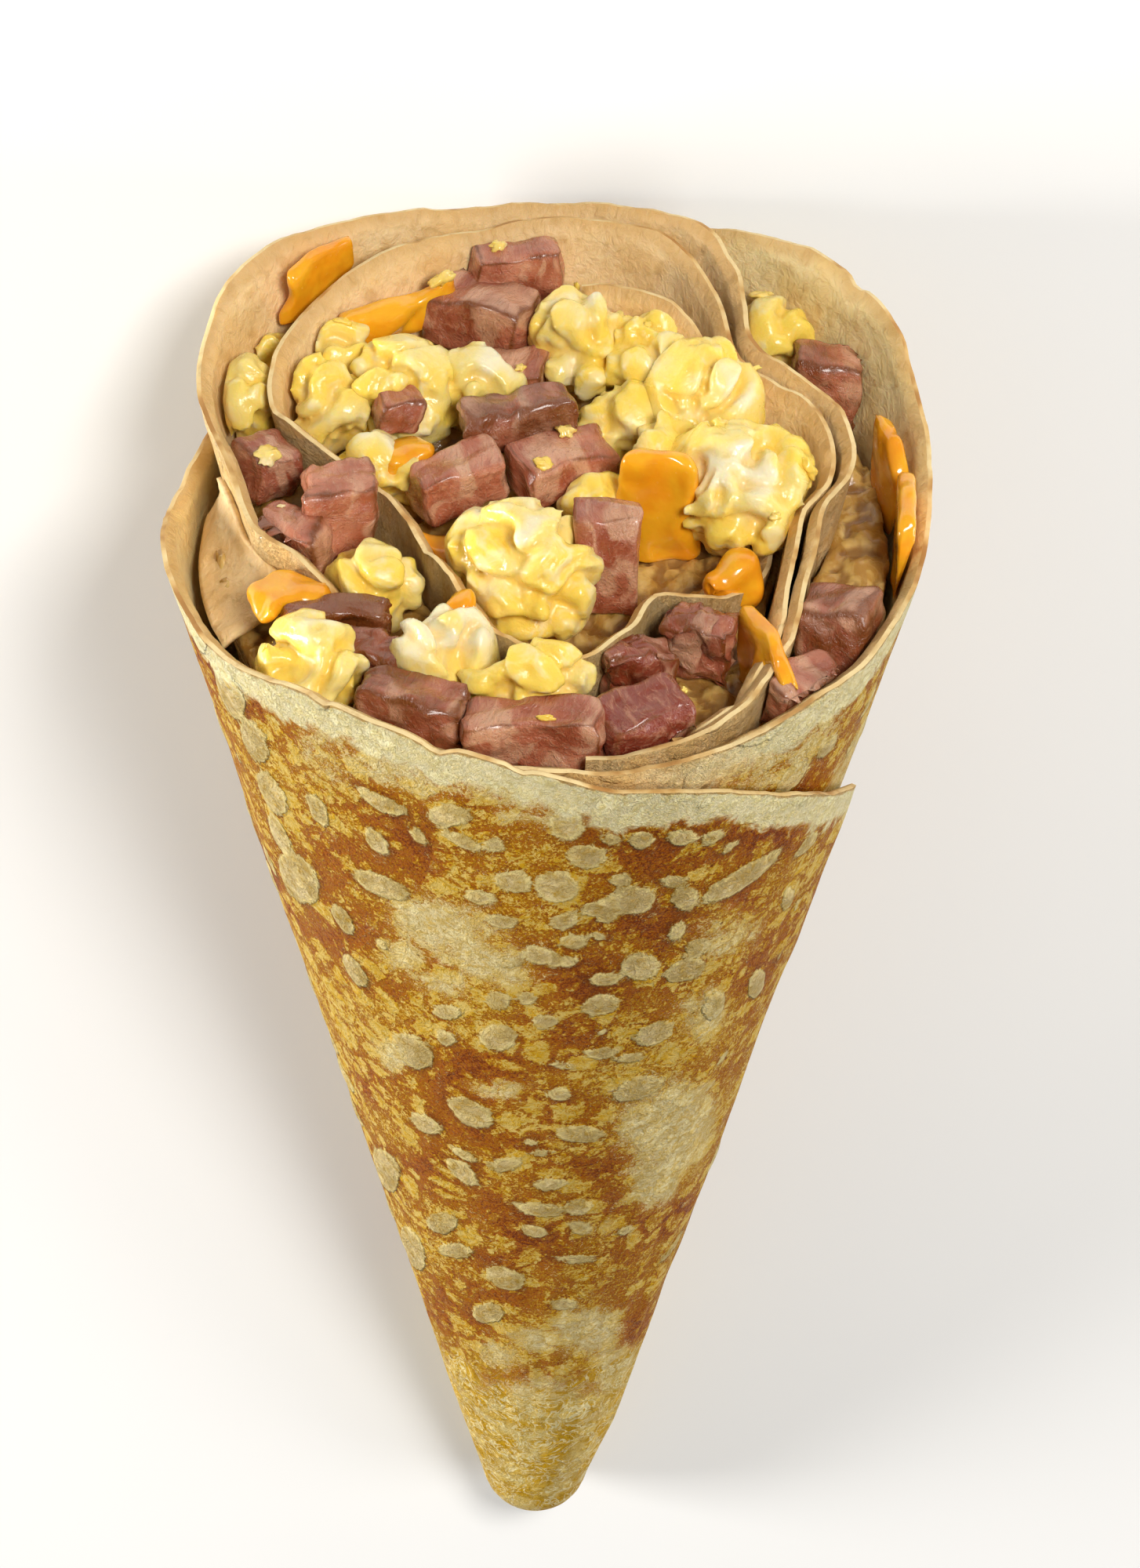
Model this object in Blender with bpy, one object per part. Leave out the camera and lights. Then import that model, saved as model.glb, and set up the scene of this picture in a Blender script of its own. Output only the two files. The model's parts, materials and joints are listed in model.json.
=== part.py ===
"""Savory crepe rolled into a cone, lying on its back with the open mouth towards +Y.

The cone is laid out in its own frame, in millimetres: Z runs up its axis from the point where
the straight sides would meet, X is its right and Y its back. An empty then lays it down, so
that its back rests on the ground and its seam and front face upwards.
A bearing is the angle round the axis: 0 is right, 90 back, 180 left and -90 front.
"""
import math
import random

import bmesh
import bpy
from mathutils import Matrix, Vector, noise

MM = 0.001

# Driving dimensions, in millimetres and degrees
HALF_ANGLE = math.radians(13.14)
TIP_RADIUS = 7.4
SHEET = 1.5
AIR = 0.3
TURN_PITCH = SHEET + AIR
SEAM_BEARING = -20.0
SHEET_FOOT = 45.0
PLUG_TOP = 75.0
PLUG_INSET = 0.25
FLAT_DEPTH = 0.55
COLUMN = 7.2
SHEET_ROWS = 3
MOUTH_HEIGHT = 201.0
MOUTH_RISE = 9.0 / 47.0
FILLING_DEPTH = 9.8
FILLING_BUMP = 1.6
CUT_GAP = 0.42
EGG_SWELL = 1.2
LARGE_CURD = 13.8
LOBE_SCALE = 4.2
LOBE_DEPTH = 0.16
SMALLEST_FILLING = 900.0
SMOOTHING = 16
PLUG_COLUMNS = 44
SEAM_STEP_TURN = 359.0
FILLING_COLUMNS = 24
FILLING_RINGS = 4
FILLING_WAIST = 130.0
FILLING_EDGE = 190.0
BUMP_SCALE = 0.16
FLAT_CUTTER = (0.2, 0.02, 0.5)
MERGE_DISTANCES = (0.00002, 0.00001, 0.000004, 0.000001, 0.0000002)

TIP_CENTRE = TIP_RADIUS / math.sin(HALF_ANGLE)
TANGENT_HEIGHT = TIP_CENTRE - TIP_RADIUS * math.sin(HALF_ANGLE)

# Outer wrap, clockwise from its seam: turn angle, extra inset from the packed roll, rim height
OUTER_WRAP = [
    (0, 0.0, 167), (14, 0.0, 173.6), (29, 0.0, 180.5), (46, 0.0, 187.4), (61, 0.0, 190.2),
    (77, 0.0, 195.2), (93, 0.0, 197.5), (106, 0.0, 197.9), (124, -0.3, 194.4),
    (153, -1.4, 194.8), (170, -1.6, 192.5), (190, -1.7, 195), (225, -0.9, 200), (258, 0.0, 203),
    (272, 0.0, 209), (291, 0.0, 210.7), (308, 0.0, 209.2), (318, 0.0, 204.6), (335, 0.3, 199.5),
    (360, 0.2, 197), (375, 0.0, 195), (388, 0.0, 194.4), (410, 0.0, 191.6), (437, 0.8, 191.6),
    (458, 7.0, 188), (483, 14.6, 192.5), (498, 12.6, 197.8), (508, 8.6, 199.5),
    (524, 5.8, 201.5), (543, -1.3, 205.2), (556, -0.9, 212), (574, -0.4, 212.3),
    (592, 0.0, 210.9), (612, 0.0, 210.8), (632, 0.4, 211), (641, 3.6, 208.4),
    (653, 10.8, 205.9), (664, 10.8, 204.9), (679, 8.0, 203.6), (695, 8.6, 201.6),
    (706, 11.6, 200.4), (726, 10.2, 198.2), (743, 5.8, 196.1), (757, 1.6, 194.5),
    (771, 0.5, 192.8), (784, 0.9, 191.6),
]
# Inner fold, clockwise from its free end: bearing, outer radius, rim height
INNER_FOLD = [
    (85, 34.2, 207), (77, 34.4, 207.6), (64, 33.4, 207.2), (54, 31.0, 205), (38, 28.4, 199.5),
    (10, 27.0, 194.5), (-18, 26.2, 193.6), (-37, 23.6, 195.4), (-52, 20.4, 196.6),
    (-68, 24, 196), (-83, 26.6, 195.4), (-103, 24.0, 196), (-118, 20.8, 196.8),
    (-137, 18.0, 197.8), (-158, 17.9, 198.6), (-173, 19.6, 199.5), (-185, 23.6, 200.4),
    (-192, 28.2, 201.3), (-197, 33.4, 202.4), (-202, 37.6, 203.5), (-216, 40.6, 206.2),
    (-236, 41.6, 210.2), (-257, 43.2, 209.9), (-272, 44.0, 210.6), (-288, 43.6, 209.8),
    (-299, 39.4, 207.4), (-312, 32.4, 205), (-324, 32.0, 204), (-339, 34.6, 202.8),
    (-355, 33.5, 200.8), (-366, 30.2, 199.6), (-386, 31.2, 197.4), (-403, 35.4, 195.3),
    (-417, 39.2, 193.6), (-429, 40.0, 192),
]
FOLD_FIRST_LAYER = 3.14
HALF_FOLD_BEARING = -160

# Pieces on the filling: x, y, depth of the centre below the mouth plane, width, depth, height, turn
HAM = [
    (-5.4, 38.6, 2.6, 11.4, 5.2, 7.6, 8), (-9.0, 33.2, 4.4, 13.0, 8.0, 7.0, -24),
    (-18.8, 13.4, 1.4, 5.4, 4.2, 4.4, 20), (-11.8, 4.0, 3.0, 11.0, 7.6, 6.8, 25),
    (-4.6, 12.6, 1.8, 13.6, 5.6, 5.6, 16), (1.4, 7.6, 4.4, 13.0, 7.6, 6.4, 28),
    (-5.0, 24.4, 6.0, 8.4, 6.4, 6.0, -8), (6.0, -8.6, 2.4, 7.8, 5.6, 14.0, -4),
    (-1.4, -35.0, 3.0, 16.0, 6.6, 7.6, -3), (10.9, -33.6, 2.6, 10.4, 8.0, 8.6, 20),
    (10.4, -23.6, 4.8, 8.6, 5.0, 8.0, 14), (17.4, -19.4, 4.6, 8.4, 6.0, 9.0, -18),
    (-34.6, 7.6, 5.0, 6.0, 7.4, 6.6, 30), (-25.8, -1.2, 3.0, 8.8, 8.0, 9.6, 14),
    (-30.6, -5.6, 4.6, 8.0, 8.0, 8.6, -18), (-25.2, -18.8, 3.2, 12.6, 3.6, 4.8, 4),
    (-20.6, -24.4, 4.0, 8.8, 5.2, 6.4, -14), (-15.8, -32.0, 3.0, 12.4, 7.4, 7.8, -12),
    (33.2, 25.6, 7.6, 8.6, 6.4, 11.0, -8), (34.0, -17.2, 4.6, 9.6, 8.4, 9.0, -14),
    (29.4, -27.6, 4.6, 8.8, 7.4, 8.2, 32),
]
EGG = [
    (-27.4, 17.0, 4.6, 8.6, 8.0, 9.4, 10), (-26.6, 25.4, 4.4, 7.0, 6.2, 8.0, 40),
    (-18.9, 18.6, 3.6, 11.4, 9.4, 10.0, 15), (-10.2, 20.2, 4.4, 9.0, 8.0, 8.0, -10),
    (-20.6, 7.8, 6.4, 8.0, 6.6, 8.4, 25), (3.6, 28.0, 4.2, 10.4, 10.4, 10.6, -20),
    (12.2, 24.8, 4.0, 11.0, 8.8, 9.4, -12), (9.0, 16.4, 6.0, 8.6, 7.0, 7.4, 8),
    (18.4, 17.4, 3.0, 10.6, 11.4, 12.6, 12), (22.6, 2.6, 2.4, 14.0, 13.6, 11.4, 5),
    (-3.4, -11.0, 2.7, 14.4, 11.8, 13.0, -7), (-12.6, -23.8, 3.4, 8.8, 7.6, 11.4, 12),
    (14.4, 9.2, 3.6, 7.0, 7.4, 9.4, 0), (-3.0, -29.0, 2.8, 13.4, 5.0, 9.0, 2),
    (-21.2, -11.6, 5.0, 8.0, 8.6, 8.2, 30), (-27.0, -26.0, 3.2, 10.8, 8.4, 9.0, -30),
    (4.6, 2.6, 6.4, 7.6, 6.0, 6.8, 10), (-34.8, 27.0, 5.6, 5.6, 7.0, 6.6, 20),
    (-38.0, 19.4, 6.2, 5.4, 8.0, 8.6, 5), (27.4, 32.0, 6.4, 7.4, 6.8, 7.6, 12),
]
CHEESE = [
    (-19.6, 31.2, 2.6, 16.4, 3.0, 5.8, 24), (-18.0, 8.2, 3.6, 6.0, 4.4, 4.6, 30),
    (12.4, 0.4, 2.8, 9.2, 3.0, 15.4, -22), (-11.2, -19.2, 2.4, 3.8, 3.2, 9.6, -30),
    (-14.0, -5.6, 5.6, 6.6, 4.6, 3.8, -16), (24.6, -24.6, 5.6, 3.2, 12.0, 15.0, 22),
    (21.8, -10.0, 5.0, 7.4, 3.4, 6.0, 24), (-31.4, -15.6, 3.4, 10.0, 6.4, 3.2, 38),
    (-30.0, 32.4, -1.2, 2.6, 11.0, 7.4, -42), (40.2, 9.6, 6.6, 3.6, 7.6, 12.0, 14),
    (41.4, -2.4, 4.4, 3.6, 9.8, 13.0, -2),
]


def cone_radius(height):
    """Outer radius of the plain cone, with its round tip."""
    if height >= TANGENT_HEIGHT:
        return height * math.tan(HALF_ANGLE)
    reach = TIP_CENTRE - height
    return math.sqrt(max(TIP_RADIUS ** 2 - reach ** 2, 0.0))


def packed_inset(turn):
    """Inset of the sheet's outer face from the cone when the roll is tight."""
    return TURN_PITCH * turn / 360.0 - TURN_PITCH / 2


def polar(bearing, radius, height):
    angle = math.radians(bearing)
    return Vector((radius * math.cos(angle), radius * math.sin(angle), height))


def mouth_height(y):
    return MOUTH_HEIGHT + MOUTH_RISE * y


def smooth_values(stations):
    """Catmull-Rom curve through rows of numbers, evenly spaced along the rim."""
    last = len(stations) - 1
    fine = []
    for index in range(last):
        rows = [stations[max(0, min(last, index + k))] for k in (-1, 0, 1, 2)]
        for part in range(SMOOTHING):
            t = part / SMOOTHING
            weights = (
                -0.5 * t + t * t - 0.5 * t ** 3,
                1 - 2.5 * t * t + 1.5 * t ** 3,
                0.5 * t + 2 * t * t - 1.5 * t ** 3,
                -0.5 * t * t + 0.5 * t ** 3,
            )
            fine.append([sum(w * row[k] for w, row in zip(weights, rows)) for k in range(3)])
    fine.append(list(stations[-1]))
    return fine


def even_columns(fine, place, step):
    """Keep the values whose rim points are about one step apart."""
    points = [place(*row) for row in fine]
    run = [0.0]
    for before, after in zip(points, points[1:]):
        run.append(run[-1] + (after - before).length)
    count = max(4, round(run[-1] / step))
    chosen = []
    index = 0
    for number in range(count + 1):
        goal = run[-1] * number / count
        while index < len(run) - 2 and run[index + 1] < goal:
            index += 1
        share = (goal - run[index]) / max(run[index + 1] - run[index], 1e-9)
        share = min(max(share, 0.0), 1.0)
        chosen.append([a + (b - a) * share for a, b in zip(fine[index], fine[index + 1])])
    return chosen


def outer_rim(turn, extra, height):
    bearing = SEAM_BEARING - turn
    return polar(bearing, cone_radius(height) - packed_inset(turn) - extra, height)


def fold_layer(bearing):
    """Turns of sheet outside the inner fold, at a bearing along it."""
    return FOLD_FIRST_LAYER + (bearing - INNER_FOLD[-1][0]) / 360.0


def grid_outer(columns):
    """Rows of points on the outer face of the outer wrap, from its foot to its rim."""
    grid = []
    for turn, extra, height in columns:
        rim = outer_rim(turn, extra, height)
        foot = polar(SEAM_BEARING - turn, cone_radius(SHEET_FOOT) - packed_inset(turn), SHEET_FOOT)
        grid.append([foot.lerp(rim, row / SHEET_ROWS) for row in range(SHEET_ROWS + 1)])
    return grid


def grid_fold(columns):
    """Rows of points on the outer face of the inner fold, from its foot to its rim."""
    grid = []
    for bearing, radius, height in columns:
        rim = polar(bearing, radius, height)
        inset = TURN_PITCH * fold_layer(bearing) - TURN_PITCH / 2
        foot = polar(bearing, cone_radius(SHEET_FOOT) - inset, SHEET_FOOT)
        grid.append([foot.lerp(rim, row / SHEET_ROWS) for row in range(SHEET_ROWS + 1)])
    return grid


def face_normals(grid):
    """Outward normal at each point of a grid whose columns run clockwise."""
    normals = []
    for i, column in enumerate(grid):
        ahead = grid[min(i + 1, len(grid) - 1)]
        behind = grid[max(i - 1, 0)]
        row = []
        for j, point in enumerate(column):
            along = ahead[j] - behind[j]
            up = column[min(j + 1, len(column) - 1)] - column[max(j - 1, 0)]
            row.append(up.cross(along).normalized())
        normals.append(row)
    return normals


def stretch_ends(grid, reach):
    """The grid with its first and last columns moved outward along the rim."""
    stretched = [list(column) for column in grid]
    for end, beside in ((0, 1), (-1, -2)):
        stretched[end] = [p + (p - q).normalized() * reach
                          for p, q in zip(grid[end], grid[beside])]
    return stretched


def slab_mesh(name, grid, outward, inward, lift):
    """Closed slab round a grid: its faces lie outward and inward of it, its rim lifted."""
    normals = face_normals(grid)
    grid = stretch_ends(grid, lift) if lift else grid
    bm = bmesh.new()
    outer = []
    inner = []
    for column, normal in zip(grid, normals):
        top = len(column) - 1
        rise = [Vector((0, 0, lift if j == top else 0.0)) for j in range(top + 1)]
        outer.append([bm.verts.new((p + n * outward + r) * MM)
                      for p, n, r in zip(column, normal, rise)])
        inner.append([bm.verts.new((p - n * inward + r) * MM)
                      for p, n, r in zip(column, normal, rise)])
    for i in range(len(grid) - 1):
        for j in range(len(grid[0]) - 1):
            bm.faces.new((outer[i][j], outer[i][j + 1], outer[i + 1][j + 1], outer[i + 1][j]))
            bm.faces.new((inner[i][j], inner[i + 1][j], inner[i + 1][j + 1], inner[i][j + 1]))
        bm.faces.new((outer[i][0], outer[i + 1][0], inner[i + 1][0], inner[i][0]))
        bm.faces.new((outer[i][-1], inner[i][-1], inner[i + 1][-1], outer[i + 1][-1]))
    for i in (0, len(grid) - 1):
        for j in range(len(grid[0]) - 1):
            bm.faces.new((outer[i][j], inner[i][j], inner[i][j + 1], outer[i][j + 1]))
    return finish_mesh(name, bm)


def finish_mesh(name, bm):
    """Turn a bmesh into a mesh whose faces are split alike and point outward."""
    bmesh.ops.triangulate(bm, faces=bm.faces[:])
    bmesh.ops.recalc_face_normals(bm, faces=bm.faces[:])
    mesh = bpy.data.meshes.new(name)
    bm.to_mesh(mesh)
    bm.free()
    return mesh


def stepped_turn(name, inset, rings, cap_height):
    """Solid of the roll's outline, with the seam's step, through rings of height."""
    bm = bmesh.new()
    loops = []
    count = PLUG_COLUMNS
    for height in rings:
        fade = min(1.0, max(0.0, (height - TIP_CENTRE) / (SHEET_FOOT - TIP_CENTRE)))
        loop = []
        for k in range(count + 1):
            turn = SEAM_STEP_TURN * k / count
            radius = cone_radius(height) - inset - fade * packed_inset(turn)
            if k == count and fade == 0.0:
                loop.append(loop[0])
                continue
            loop.append(bm.verts.new(polar(SEAM_BEARING - turn, radius, height) * MM))
        loops.append(loop)
    for lower, upper in zip(loops, loops[1:]):
        for k in range(count + 1):
            after = (k + 1) % (count + 1)
            corners = [lower[k], upper[k], upper[after], lower[after]]
            kept = [v for i, v in enumerate(corners) if v not in corners[:i]]
            if len(kept) > 2:
                bm.faces.new(kept)
    pole = bm.verts.new(Vector((0, 0, (TIP_CENTRE - TIP_RADIUS + inset) * MM)))
    crown = bm.verts.new(Vector((0, 0, cap_height * MM)))
    for k in range(count + 1):
        after = (k + 1) % (count + 1)
        if loops[0][k] is not loops[0][after]:
            bm.faces.new((pole, loops[0][k], loops[0][after]))
        bm.faces.new((crown, loops[-1][after], loops[-1][k]))
    return finish_mesh(name, bm)


def material(name, colour, roughness):
    made = bpy.data.materials.new(name)
    made.use_nodes = True
    shader = made.node_tree.nodes["Principled BSDF"]
    shader.inputs["Base Color"].default_value = (*colour, 1.0)
    shader.inputs["Roughness"].default_value = roughness
    shader.inputs["Metallic"].default_value = 0.0
    return made


def add_object(name, mesh, collection, finish=None):
    made = bpy.data.objects.new(name, mesh)
    collection.objects.link(made)
    if finish is not None:
        made.data.materials.append(finish)
    return made


def boolean(target, cutters, operation):
    """Apply one Boolean per cutter to the target's mesh."""
    for cutter in cutters:
        step = target.modifiers.new(cutter.name, "BOOLEAN")
        step.operation = operation
        step.solver = "EXACT"
        step.object = cutter
    graph = bpy.context.evaluated_depsgraph_get()
    graph.update()
    result = bpy.data.meshes.new_from_object(target.evaluated_get(graph))
    target.modifiers.clear()
    old = target.data
    target.data = result
    bpy.data.meshes.remove(old)


def islands(bm):
    """Lists of connected faces, the largest volume first."""
    left = set(bm.faces)
    found = []
    while left:
        seed = left.pop()
        group = [seed]
        queue = [seed]
        while queue:
            face = queue.pop()
            for edge in face.edges:
                for other in edge.link_faces:
                    if other in left:
                        left.discard(other)
                        group.append(other)
                        queue.append(other)
        found.append(group)
    return sorted(found, key=group_volume, reverse=True)


def group_volume(faces):
    total = 0.0
    for face in faces:
        first = face.verts[0].co
        for before, after in zip(face.verts[1:], face.verts[2:]):
            total += first.dot(before.co.cross(after.co)) / 6.0
    return total


def drop_folded_faces(bm):
    """Remove pairs of faces that share all their corners, and what is then left loose."""
    seen = {}
    doubled = set()
    for face in bm.faces:
        key = frozenset(face.verts)
        if key in seen:
            doubled.update((face, seen[key]))
        seen[key] = face
    bmesh.ops.delete(bm, geom=list(doubled), context="FACES")


def tidy_cut(made, keep_largest=True):
    """Merge the slivers that a cut leaves, as far as the mesh stays closed, and drop scraps."""
    for distance in MERGE_DISTANCES:
        bm = bmesh.new()
        bm.from_mesh(made.data)
        bmesh.ops.remove_doubles(bm, verts=bm.verts[:], dist=distance)
        bmesh.ops.dissolve_degenerate(bm, edges=bm.edges[:], dist=distance)
        bmesh.ops.triangulate(bm, faces=bm.faces[:])
        drop_folded_faces(bm)
        if keep_largest:
            scraps = [face for group in islands(bm)[1:] for face in group]
            bmesh.ops.delete(bm, geom=scraps, context="FACES")
        closed = all(len(edge.link_faces) == 2 for edge in bm.edges)
        if closed or distance == MERGE_DISTANCES[-1]:
            bm.to_mesh(made.data)
        bm.free()
        if closed:
            return


def grown_copy(made, collection, gap):
    """Cutter a little larger than a finished piece."""
    bm = bmesh.new()
    bm.from_mesh(made.data)
    bmesh.ops.recalc_face_normals(bm, faces=bm.faces[:])
    bm.normal_update()
    moves = [(vert, vert.co + vert.normal * gap * MM) for vert in bm.verts]
    for vert, place in moves:
        vert.co = place
    return add_object(made.name + "_grown", finish_mesh(made.name + "_grown", bm), collection)


def boxes_meet(first, second):
    """True if the mesh bounds of two objects at the origin overlap."""
    low_a, high_a = bounds(first)
    low_b, high_b = bounds(second)
    return all(low_a[k] <= high_b[k] and low_b[k] <= high_a[k] for k in range(3))


def bounds(made):
    points = [vert.co for vert in made.data.vertices]
    low = Vector([min(p[k] for p in points) for k in range(3)])
    high = Vector([max(p[k] for p in points) for k in range(3)])
    return low, high


def make_crepe(parts, scratch, finish):
    """The rolled sheet as one solid, with the filled slots' cutters."""
    outer_columns = even_columns(smooth_values(OUTER_WRAP), outer_rim, COLUMN)
    fold_columns = even_columns(smooth_values(INNER_FOLD), polar, COLUMN)
    outer_grid = grid_outer(outer_columns)
    fold_grid = grid_fold(fold_columns)
    crepe = add_object("crepe", slab_mesh("crepe", outer_grid, 0.0, SHEET, 0.0), parts, finish)
    fold = add_object("fold", slab_mesh("fold", fold_grid, 0.0, SHEET, 0.0), scratch)
    rings = [TIP_CENTRE - TIP_RADIUS * math.cos(math.radians(a)) for a in (18, 40, 64)]
    rings += [TIP_CENTRE, SHEET_FOOT - 1.0, PLUG_TOP]
    plug = add_object("plug", stepped_turn("plug", PLUG_INSET, rings, PLUG_TOP), scratch)
    boolean(crepe, [fold, plug], "UNION")
    crepe.data.materials.clear()
    crepe.data.materials.append(finish)
    tidy_cut(crepe)
    cutters = []
    seam = sum(1 for column in outer_columns if column[0] < 360)
    half = sum(1 for column in fold_columns if column[0] > HALF_FOLD_BEARING)
    for name, grid in (("turn_1", outer_grid[:seam + 1]), ("turn_2", outer_grid[seam - 1:]),
                       ("fold_1", fold_grid[:half + 1]), ("fold_2", fold_grid[half - 1:])):
        mesh = slab_mesh(name, grid, AIR, SHEET + AIR, AIR)
        cutters.append(add_object(name, mesh, scratch))
    return crepe, cutters


def make_filling(parts, scratch, finish, walls):
    """The packed filling between the walls, one solid for each space."""
    bm = bmesh.new()
    columns = FILLING_COLUMNS
    rings = FILLING_RINGS
    bottom = PLUG_TOP + AIR
    levels = (bottom, FILLING_WAIST)
    inset = SHEET + TURN_PITCH + AIR
    side = []
    for height in levels:
        radius = cone_radius(height) - inset
        side.append([bm.verts.new(polar(360.0 * k / columns, radius, height) * MM)
                     for k in range(columns)])
    top = []
    for ring in range(rings, 0, -1):
        loop = []
        for k in range(columns):
            share = ring / rings
            flat = polar(360.0 * k / columns, (cone_radius(FILLING_EDGE) - inset) * share, 0)
            bump = noise.noise(flat * BUMP_SCALE) * FILLING_BUMP
            height = mouth_height(flat.y) - FILLING_DEPTH + bump
            reach = (cone_radius(height) - inset) * share
            loop.append(bm.verts.new(polar(360.0 * k / columns, reach, height) * MM))
        top.append(loop)
    stack = side + top
    for lower, upper in zip(stack, stack[1:]):
        for k in range(columns):
            after = (k + 1) % columns
            bm.faces.new((lower[k], lower[after], upper[after], upper[k]))
    base = bm.verts.new(Vector((0, 0, bottom * MM)))
    crown = bm.verts.new(Vector((0, 0, (mouth_height(0) - FILLING_DEPTH) * MM)))
    for k in range(columns):
        after = (k + 1) % columns
        bm.faces.new((base, side[0][after], side[0][k]))
        bm.faces.new((crown, top[-1][k], top[-1][after]))
    block = add_object("filling", finish_mesh("filling", bm), scratch)
    below = grown_copy(block, scratch, CUT_GAP)
    boolean(block, walls, "DIFFERENCE")
    tidy_cut(block, keep_largest=False)
    bm = bmesh.new()
    bm.from_mesh(block.data)
    groups = [[tuple(v.index for v in f.verts) for f in g] for g in islands(bm)]
    sizes = [group_volume(g) * 1e9 for g in islands(bm)]
    places = [v.co.copy() for v in bm.verts]
    bm.free()
    made = []
    for number, (group, size) in enumerate(zip(groups, sizes)):
        if size < SMALLEST_FILLING:
            continue
        piece = bmesh.new()
        used = sorted({index for face in group for index in face})
        verts = {index: piece.verts.new(places[index]) for index in used}
        for face in group:
            piece.faces.new([verts[index] for index in face])
        name = "filling_%d" % (len(made) + 1)
        made.append(add_object(name, finish_mesh(name, piece), parts, finish))
    return made, below


def dice_mesh(name, size, rng):
    """Cut cube of meat with worn edges and slightly wavy faces."""
    bm = bmesh.new()
    bmesh.ops.create_cube(bm, size=1.0)
    bmesh.ops.subdivide_edges(bm, edges=bm.edges[:], cuts=1, use_grid_fill=True)
    for vert in bm.verts:
        corner = sum(1 for k in range(3) if abs(vert.co[k]) > 0.4)
        round_off = {3: 0.86, 2: 0.95}.get(corner, 1.0)
        wobble = Vector([rng.uniform(-0.05, 0.05) for _ in range(3)])
        vert.co = vert.co * round_off + wobble
    bmesh.ops.scale(bm, vec=Vector(size) * MM, verts=bm.verts[:])
    return finish_mesh(name, bm)


def lump_mesh(name, size, rng):
    """Soft curd: a ball with lobes."""
    bm = bmesh.new()
    large = max(size) > LARGE_CURD
    bmesh.ops.create_icosphere(bm, subdivisions=3 if large else 2, radius=0.5)
    shift = Vector([rng.uniform(0, 50) for _ in range(3)])
    for vert in bm.verts:
        swell = noise.noise(vert.co * LOBE_SCALE + shift) * LOBE_DEPTH
        vert.co = vert.co * (1.0 + swell)
    bmesh.ops.scale(bm, vec=Vector(size) * MM * EGG_SWELL, verts=bm.verts[:])
    return finish_mesh(name, bm)


def slab_piece_mesh(name, size, rng):
    """Slice of melting cheese: a soft-edged plate."""
    bm = bmesh.new()
    bmesh.ops.create_cube(bm, size=1.0)
    bmesh.ops.subdivide_edges(bm, edges=bm.edges[:], cuts=1, use_grid_fill=True)
    for vert in bm.verts:
        corner = sum(1 for k in range(3) if abs(vert.co[k]) > 0.4)
        round_off = {3: 0.9, 2: 0.97}.get(corner, 1.04)
        wobble = Vector([rng.uniform(-0.03, 0.03) for _ in range(3)])
        vert.co = vert.co * round_off + wobble
    bmesh.ops.scale(bm, vec=Vector(size) * MM, verts=bm.verts[:])
    return finish_mesh(name, bm)


def place_pieces(kind, rows, shape, parts, scratch, finish, walls, below, done, rng):
    """Set pieces on the filling, each trimmed by walls, filling and the pieces before it."""
    number = 0
    for x, y, depth, width, length, height, turn in rows:
        number += 1
        name = "%s_%02d" % (kind, number)
        mesh = shape(name, (width, length, height), rng)
        centre = Vector((x, y, mouth_height(y) - depth)) * MM
        mesh.transform(Matrix.Translation(centre) @ Matrix.Rotation(math.radians(turn), 4, "Z"))
        made = add_object(name, mesh, parts, finish)
        near = [cutter for cutter in walls + [below] + done if boxes_meet(made, cutter)]
        if near:
            boolean(made, near, "DIFFERENCE")
            made.data.materials.clear()
            made.data.materials.append(finish)
        tidy_cut(made)
        done.append(grown_copy(made, scratch, CUT_GAP))


def lay_down(parts):
    """Turn the cone onto its back and centre it over the origin."""
    pose = bpy.data.objects.new("lying_pose", None)
    bpy.context.scene.collection.objects.link(pose)
    rows = (
        (1, 0, 0),
        (0, math.sin(HALF_ANGLE), math.cos(HALF_ANGLE)),
        (0, -math.cos(HALF_ANGLE), math.sin(HALF_ANGLE)),
    )
    turn = Matrix(rows).to_4x4()
    points = [turn @ vert.co for made in parts.objects for vert in made.data.vertices]
    low = Vector([min(p[k] for p in points) for k in range(3)])
    high = Vector([max(p[k] for p in points) for k in range(3)])
    middle = (low + high) / 2
    pose.matrix_world = Matrix.Translation(Vector((-middle.x, -middle.y, -low.z))) @ turn
    for made in parts.objects:
        made.parent = pose


def flatten_back(crepe, scratch):
    """Cut the small flat that the crepe rests on."""
    bm = bmesh.new()
    bmesh.ops.create_cube(bm, size=1.0)
    bmesh.ops.scale(bm, vec=FLAT_CUTTER, verts=bm.verts[:])
    cutter = add_object("flat", finish_mesh("flat", bm), scratch)
    outward = Vector((0, math.cos(HALF_ANGLE), -math.sin(HALF_ANGLE)))
    along = Vector((0, math.sin(HALF_ANGLE), math.cos(HALF_ANGLE)))
    lowest = max(outward.dot(vert.co) for vert in crepe.data.vertices)
    middle = outward * (lowest - FLAT_DEPTH * MM + FLAT_CUTTER[1] / 2) + along * PLUG_TOP * MM
    cutter.data.transform(Matrix.Translation(middle) @ Matrix.Rotation(-HALF_ANGLE, 4, "X"))
    boolean(crepe, [cutter], "DIFFERENCE")
    tidy_cut(crepe)


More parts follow.
